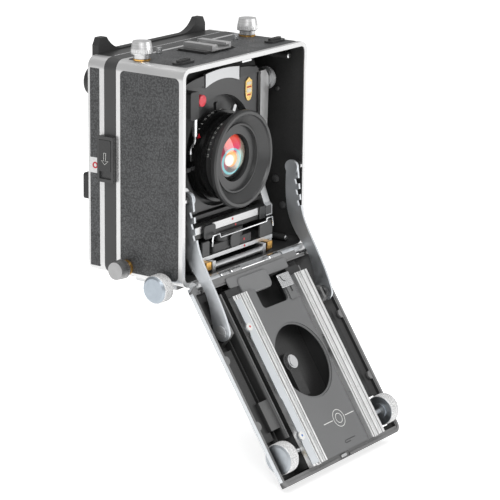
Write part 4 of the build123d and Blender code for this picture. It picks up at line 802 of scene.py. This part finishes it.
def dials():
    speeds = ("B", "1", "2", "4", "8", "15", "30", "60", "125", "250")
    marks = [(text, 2.6, around_lens(SPEED_RING_R, -5.4, 160 - 8 * k, True))
             for k, text in enumerate(speeds)]
    text_piece("speed_numbers", marks, "front_panel", WHITE_INK)
    stops = ("5.6", "8", "11", "16", "22", "32", "45")
    marks = [(text, 2.2, around_lens(FRONT_BARREL_R, -16.6, 168 - 9 * k, True))
             for k, text in enumerate(stops)]
    text_piece("stop_numbers", marks, "front_panel", WHITE_INK)
    shape = bmesh.new()
    for k in range(25):
        long_mark = k % 4 == 0
        matrix = around_lens(FRONT_BARREL_R, -20.4, 186 - 3.6 * k, True)
        prism_into(shape, matrix, rounded(0.32, 2.2 if long_mark else 1.2, 0.05, steps=1), -0.02, 0.06)
    add_piece("depth_scale_marks", to_mesh("depth_scale_marks", shape), "front_panel", WHITE_INK,
              smooth=False)
    index = around_lens(SPEED_RING_R, -5.0, 146, True)
    arrow = [(-2.0, -1.4), (2.0, -1.4), (0.2, 2.2)]
    prism("shutter_index", facing_front(-30.5, -8.7, 109.8), arrow, -0.1, 0.25, "front_panel", RED_DOT,
          0.05)
    prism("speed_index", index, [(-1.2, -1.4), (1.2, -1.4), (0, 1.4)], -0.02, 0.12, "front_panel", RED_DOT,
          0.0)


badge()
dials()

# ------------------------------------------------------------------ bed: dotted discs and the emblem
for v, ink, word in ((44.5, RED_DOT, "red"), (134.0, BLUE_DOT, "blue")):
    lathe(f"{word}_stop_disc", on_bed(STOP_U, v, 14.0),
          [(0, 0.1), (3.1, 0.1), (3.1, 0.9), (2.8, 1.15), (0, 1.15)], "focus_track", WHITE_INK)
    lathe(f"{word}_stop_dot", on_bed(STOP_U, v, 15.1), [(0, 0), (0.9, 0), (0.9, 0.15), (0, 0.15)],
          "focus_track", ink, 24)


def emblem():
    """A plain engraved emblem on the plate: a lens in section between two rules."""
    matrix = on_bed(8, 134, PLATE_FACE)
    shape = bmesh.new()
    count = 48
    for radius in (7.0, 4.0):
        within = radius - 0.45
        for k in range(count):
            a, b = 2 * math.pi * k / count, 2 * math.pi * (k + 1) / count
            outline = [(r * math.cos(t), r * math.sin(t)) for r, t in
                       ((radius, a), (radius, b), (within, b), (within, a))]
            prism_into(shape, matrix, outline, -0.03, 0.05)
    for x in (-14.5, 14.5):
        prism_into(shape, matrix, rounded(12, 0.6, 0.25, x, 0, 2), -0.03, 0.05)
    add_piece("plate_emblem", to_mesh("plate_emblem", shape), "focus_track", WHITE_INK,
              smooth=False)


emblem()

# ------------------------------------------------------------------ fittings at the foot of the standard
def foot_fittings():
    """Brackets, bent locking wire and index dots on the base of the lens standard."""
    brackets = (
        ("left_bracket", SWING_BAR_FRONT, rounded(15, 11, 3, -29.5, 37.2), 2.0, "swing_post", BLACK),
        ("right_bracket", SWING_BAR_FRONT, rounded(8, 10, 1, 41.0, 38.0), 1.0, "swing_post", BLACK),
        ("right_ear_plate", SWING_BAR_FRONT, rounded(7.5, 7, 0.6, 49.5, 38.6), 0.8, "swing_post", FOOT_GREY),
        ("left_foot_plate", SHIFT_BLOCK_FRONT, rounded(9, 11.4, 0.8, -37.5, 25.4), 1.8, "shift_slide",
         FOOT_GREY),
        ("middle_tongue", -20.3, rounded(12, 11, 3.2, 0.5, 25.2), 1.2, "shift_slide", FOOT_GREY),
        ("right_foot_plate", SHIFT_BLOCK_FRONT, rounded(17, 12, 0.8, 41.5, 25.7), 1.8, "shift_slide",
         FOOT_GREY),
    )
    for name, y, outline, depth, body, material in brackets:
        prism(name, facing_front(0, y, 0), outline, 0.0, depth, body, material, 0.35)
    bends = ((-31, 26.5), (-30, 34.4), (-21.8, 34.8), (-20.8, 31.6), (40.3, 31.6), (40.5, 34.0), (48.0, 34.2),
             (49.2, 26.5))
    wire("locking_wire", [(x, LOCKING_WIRE_Y, z) for x, z in bends], 0.75, "shift_slide", BRIGHT)
    wire("swing_index_line", ((-12, -17.1, 36.6), (34, -17.1, 36.6)), 0.35, "swing_post", BLACK)
    for x, y, z, body in ((2.5, -17.0, 40.6, "swing_post"), (6.5, -17.0, 35.6, "swing_post"),
                          (13.0, -21.0, 17.8, "carriage"), (14.5, -19.5, 22.5, "shift_slide")):
        lathe(f"index_dot_{body}_{int(z)}", facing_front(x, y, z),
              [(0, -0.1), (1.0, -0.1), (1.0, 0.12), (0, 0.12)], body, RED_DOT, 20)


def hinge_fittings():
    """Sleeves and cover plate of the bed's hinge, the hook of the track lock and the right strut's boss."""
    for start, end in ((-26.0, -13.0), (-39.0, -29.0), (24.0, 38.5)):
        lathe(f"hinge_sleeve_{abs(int(start))}", axes((start, HINGE.y, HINGE.z), (0, 1, 0), (1, 0, 0)),
              [(0, 0), (3.1, 0), (3.5, 0.4), (3.5, end - start - 0.4), (3.1, end - start), (0, end - start)],
              "bed", BRIGHT)
    cover = on_bed(0, 0, 3.66)
    prism("hinge_cover", cover, rounded(78, 8.6, 2, 0, -7.6), 0.0, 1.3, "bed", HINGE_GREY, 0.4)
    prism("hinge_tongue", cover, rounded(38, 15, 4.5, -9, -13.4), -2.6, 2.6, "bed", HINGE_GREY,
          0.9)
    plate = on_bed(0, 0, 9.62)
    prism("track_hook_plate", plate, rounded(15.5, 11, 1, 20.2, -20.6), 0.0, 1.1, "focus_track", BRIGHT,
          0.25)
    hook = [Vector((x, y, 1.12)) for x, y in ((15.5, -16.5), (15.9, -19.0), (17.2, -20.8), (19.2, -21.4))]
    wire("track_hook_slot", [(plate @ (p * MM)) / MM for p in hook], 0.4, "focus_track", BLACK)
    boss = axes(bed_point(66.2, STRUT_PIVOT.x, STRUT_PIVOT.y), (0, 1, 0), (-1, 0, 0))
    height = 3.1
    lathe("right_strut_boss", boss, [(0, 0), (5.4, 0), (5.4, 2.4), (4.7, height), (0, height)], "bed", BLACK)
    screw("right_strut_screw", boss @ Matrix.Translation((0, 0, height * MM)), 2.4, 0.8, "bed", SILVER,
          50)


def bed_fittings():
    """Spanner nut beside the left wheel, latch at the far end, and the engraved mark under the emblem."""
    u, v = SPANNER_NUT
    post = on_bed(u, v, 0)
    lathe("spanner_post", post, [(0, -8.2), (2.2, -8.2), (2.2, 2.4), (0, 2.4)], "bed", BLACK,
          24)
    lathe("spanner_nut", post, [(0, 2.4), (3.6, 2.4), (3.6, 3.4), (3.3, 3.7), (0, 3.7)], "bed", CREAM)
    for turn in (40, 220):
        a = math.radians(turn)
        lathe(f"spanner_hole_{turn}", on_bed(u + 1.7 * math.cos(a), v + 1.7 * math.sin(a), 3.7),
              [(0, 0), (0.5, 0), (0.5, 0.05), (0, 0.05)], "bed", BLACK, 16)
    prism("far_latch", on_bed(0, 161.0, 2.66), rounded(7, 2.2, 0.5), 0.0, 1.2, "bed", BRIGHT,
          0.2)
    matrix = on_bed(8, 152.5, PLATE_FACE)
    loop = [Vector((x, y, 0)) for x, y in ((8.5, 0.9), (-4.5, 0.9), (-6.2, 0.0), (-4.5, -0.9), (1.5, -0.9))]
    wire("plate_mark", [(matrix @ (p * MM)) / MM for p in loop], 0.28, "focus_track", BLACK)


def back_fittings():
    """Catches on the top, a line on the back, caps of its rods and studs inside the right wall."""
    for x, y in ((-37.0, 24.0), (47.0, 14.0)):
        prism(f"top_catch_{abs(int(x))}", axes((x, y, TOP_Z + 0.2), (1, 0, 0), (0, 0, 1)),
              rounded(5, 2.4, 0.6), 0.0, 4.4, "camera_body", SILVER, 0.3)
        screw(f"top_catch_screw_{abs(int(x))}", facing_front(x, y - 1.2, TOP_Z + 2.4), 1.1, 0.4,
              "camera_body", BRIGHT)
    for z in (157.5, 11.0):
        lathe(f"rod_cap_{int(z)}", facing_front(*GUIDE_ROD, z),
              [(0, 0), (2.3, 0), (2.3, 0.5), (1.6, 1.1), (0, 1.1)], "sliding_back", BRIGHT,
              28)
    wire("back_bright_line", ((-66, 43.6, TOP_Z), (66, 43.6, TOP_Z)), 0.3, "sliding_back", BRIGHT)
    for y, z, radius in ((-6.0, 129.5, 1.6), (-5.0, 56.7, 3.0), (-12.5, 36.2, 3.0)):
        lathe(f"wall_stud_{int(z)}", axes((77.4, y, z), (0, 1, 0), (-1, 0, 0)),
              [(0, 0), (radius, 0), (radius, 1.4), (radius * 0.7, 1.9), (0, 1.9)], "camera_body", FOOT_GREY,
              28)
    prism("top_latch", axes((0, -29.6, 166.4), (1, 0, 0), (0, 0, -1)), rounded(12, 2.4, 0.5), 0.0, 1.8,
          "camera_body", BRIGHT, 0.3)


def button_cap():
    """Domed red cap on the release button, standing a little proud of its holder."""
    low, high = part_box("release_button")
    centre = (low + high) / (2 * MM)
    radius = (high.x - low.x) / (2 * MM) - 0.1
    lathe("release_button_cap", facing_front(centre.x, low.y / MM, centre.z),
          [(0, 0), (radius, 0), (radius, 1.0), (radius * 0.8, 1.5), (0, 1.7)], "release_plunger", RED)


button_cap()
foot_fittings()
hinge_fittings()
bed_fittings()
back_fittings()

# ------------------------------------------------------------------ slider's arrow, ring on the back
wire("slider_arrow", [Vector((ARROW_X, y, z)) for y, z in (
    (38.0, 99.5), (38.0, 93.5), (35.6, 93.5), (38.95, 90.6), (42.3, 93.5), (39.9, 93.5), (39.9, 99.5),
    (38.0, 99.5))],
    0.16, "release_slider", WHITE_INK)
lathe("label_ring", facing_left(-HALF_W, 51.2, 88), [(1.4, 0.0), (2.5, 0.0), (2.5, 0.15), (1.4, 0.15)],
      "sliding_back", RED_DOT)

# ------------------------------------------------------------------ studio: floor, light, camera
def studio():
    floor_z = -0.1375
    bpy.ops.mesh.primitive_plane_add(size=14, location=(0, 0, floor_z))
    floor = bpy.context.object
    floor.name = "studio_floor"
    s = Surface("studio_floor", 0.7)
    s.colour(s.mix(s.noise(3.0), grey(0.86), grey(0.9)))
    s.shader.inputs["Emission Color"].default_value = (1, 1, 1, 1)
    s.shader.inputs["Emission Strength"].default_value = 0.62
    floor.data.materials.append(s.material)
    world = bpy.data.worlds.new("studio_air")
    bpy.context.scene.world = world
    world.use_nodes = True
    background = world.node_tree.nodes["Background"]
    background.inputs["Color"].default_value = (1, 1, 1, 1)
    background.inputs["Strength"].default_value = 0.52
    bpy.context.scene.view_settings.view_transform = "Standard"
    for name, place, size, power in (
        ("key", (-1.3, -0.9, 1.5), 1.0, 19),
        ("fill", (0.9, -1.8, 0.7), 1.2, 12),
        ("top", (0.1, 0.2, 1.9), 1.2, 13),
    ):
        data = bpy.data.lights.new(name, "AREA")
        data.size = size
        data.energy = power
        lamp = bpy.data.objects.new(name, data)
        lamp.location = place
        lamp.rotation_euler = (Vector((0, -0.02, 0.05)) - Vector(place)).to_track_quat("-Z", "Y").to_euler()
        bpy.context.scene.collection.objects.link(lamp)


def camera():
    azimuth, elevation, roll = math.radians(-54.743), math.radians(15.148), math.radians(0.705)
    back = Vector((math.sin(azimuth) * math.cos(elevation), -math.cos(azimuth) * math.cos(elevation),
                   math.sin(elevation)))
    level_right = (-back).cross(Vector((0, 0, 1))).normalized()
    level_up = level_right.cross(-back)
    right = level_right * math.cos(roll) + level_up * math.sin(roll)
    up = level_up * math.cos(roll) - level_right * math.sin(roll)
    data = bpy.data.cameras.new("photo_view")
    data.lens = 167.2
    data.sensor_width = 36.0
    eye = bpy.data.objects.new("photo_view", data)
    eye.matrix_world = Matrix((right, up, back)).transposed().to_4x4()
    eye.location = (-1.3996, -1.0249, 0.4833)
    bpy.context.scene.collection.objects.link(eye)
    bpy.context.scene.camera = eye


studio()
camera()
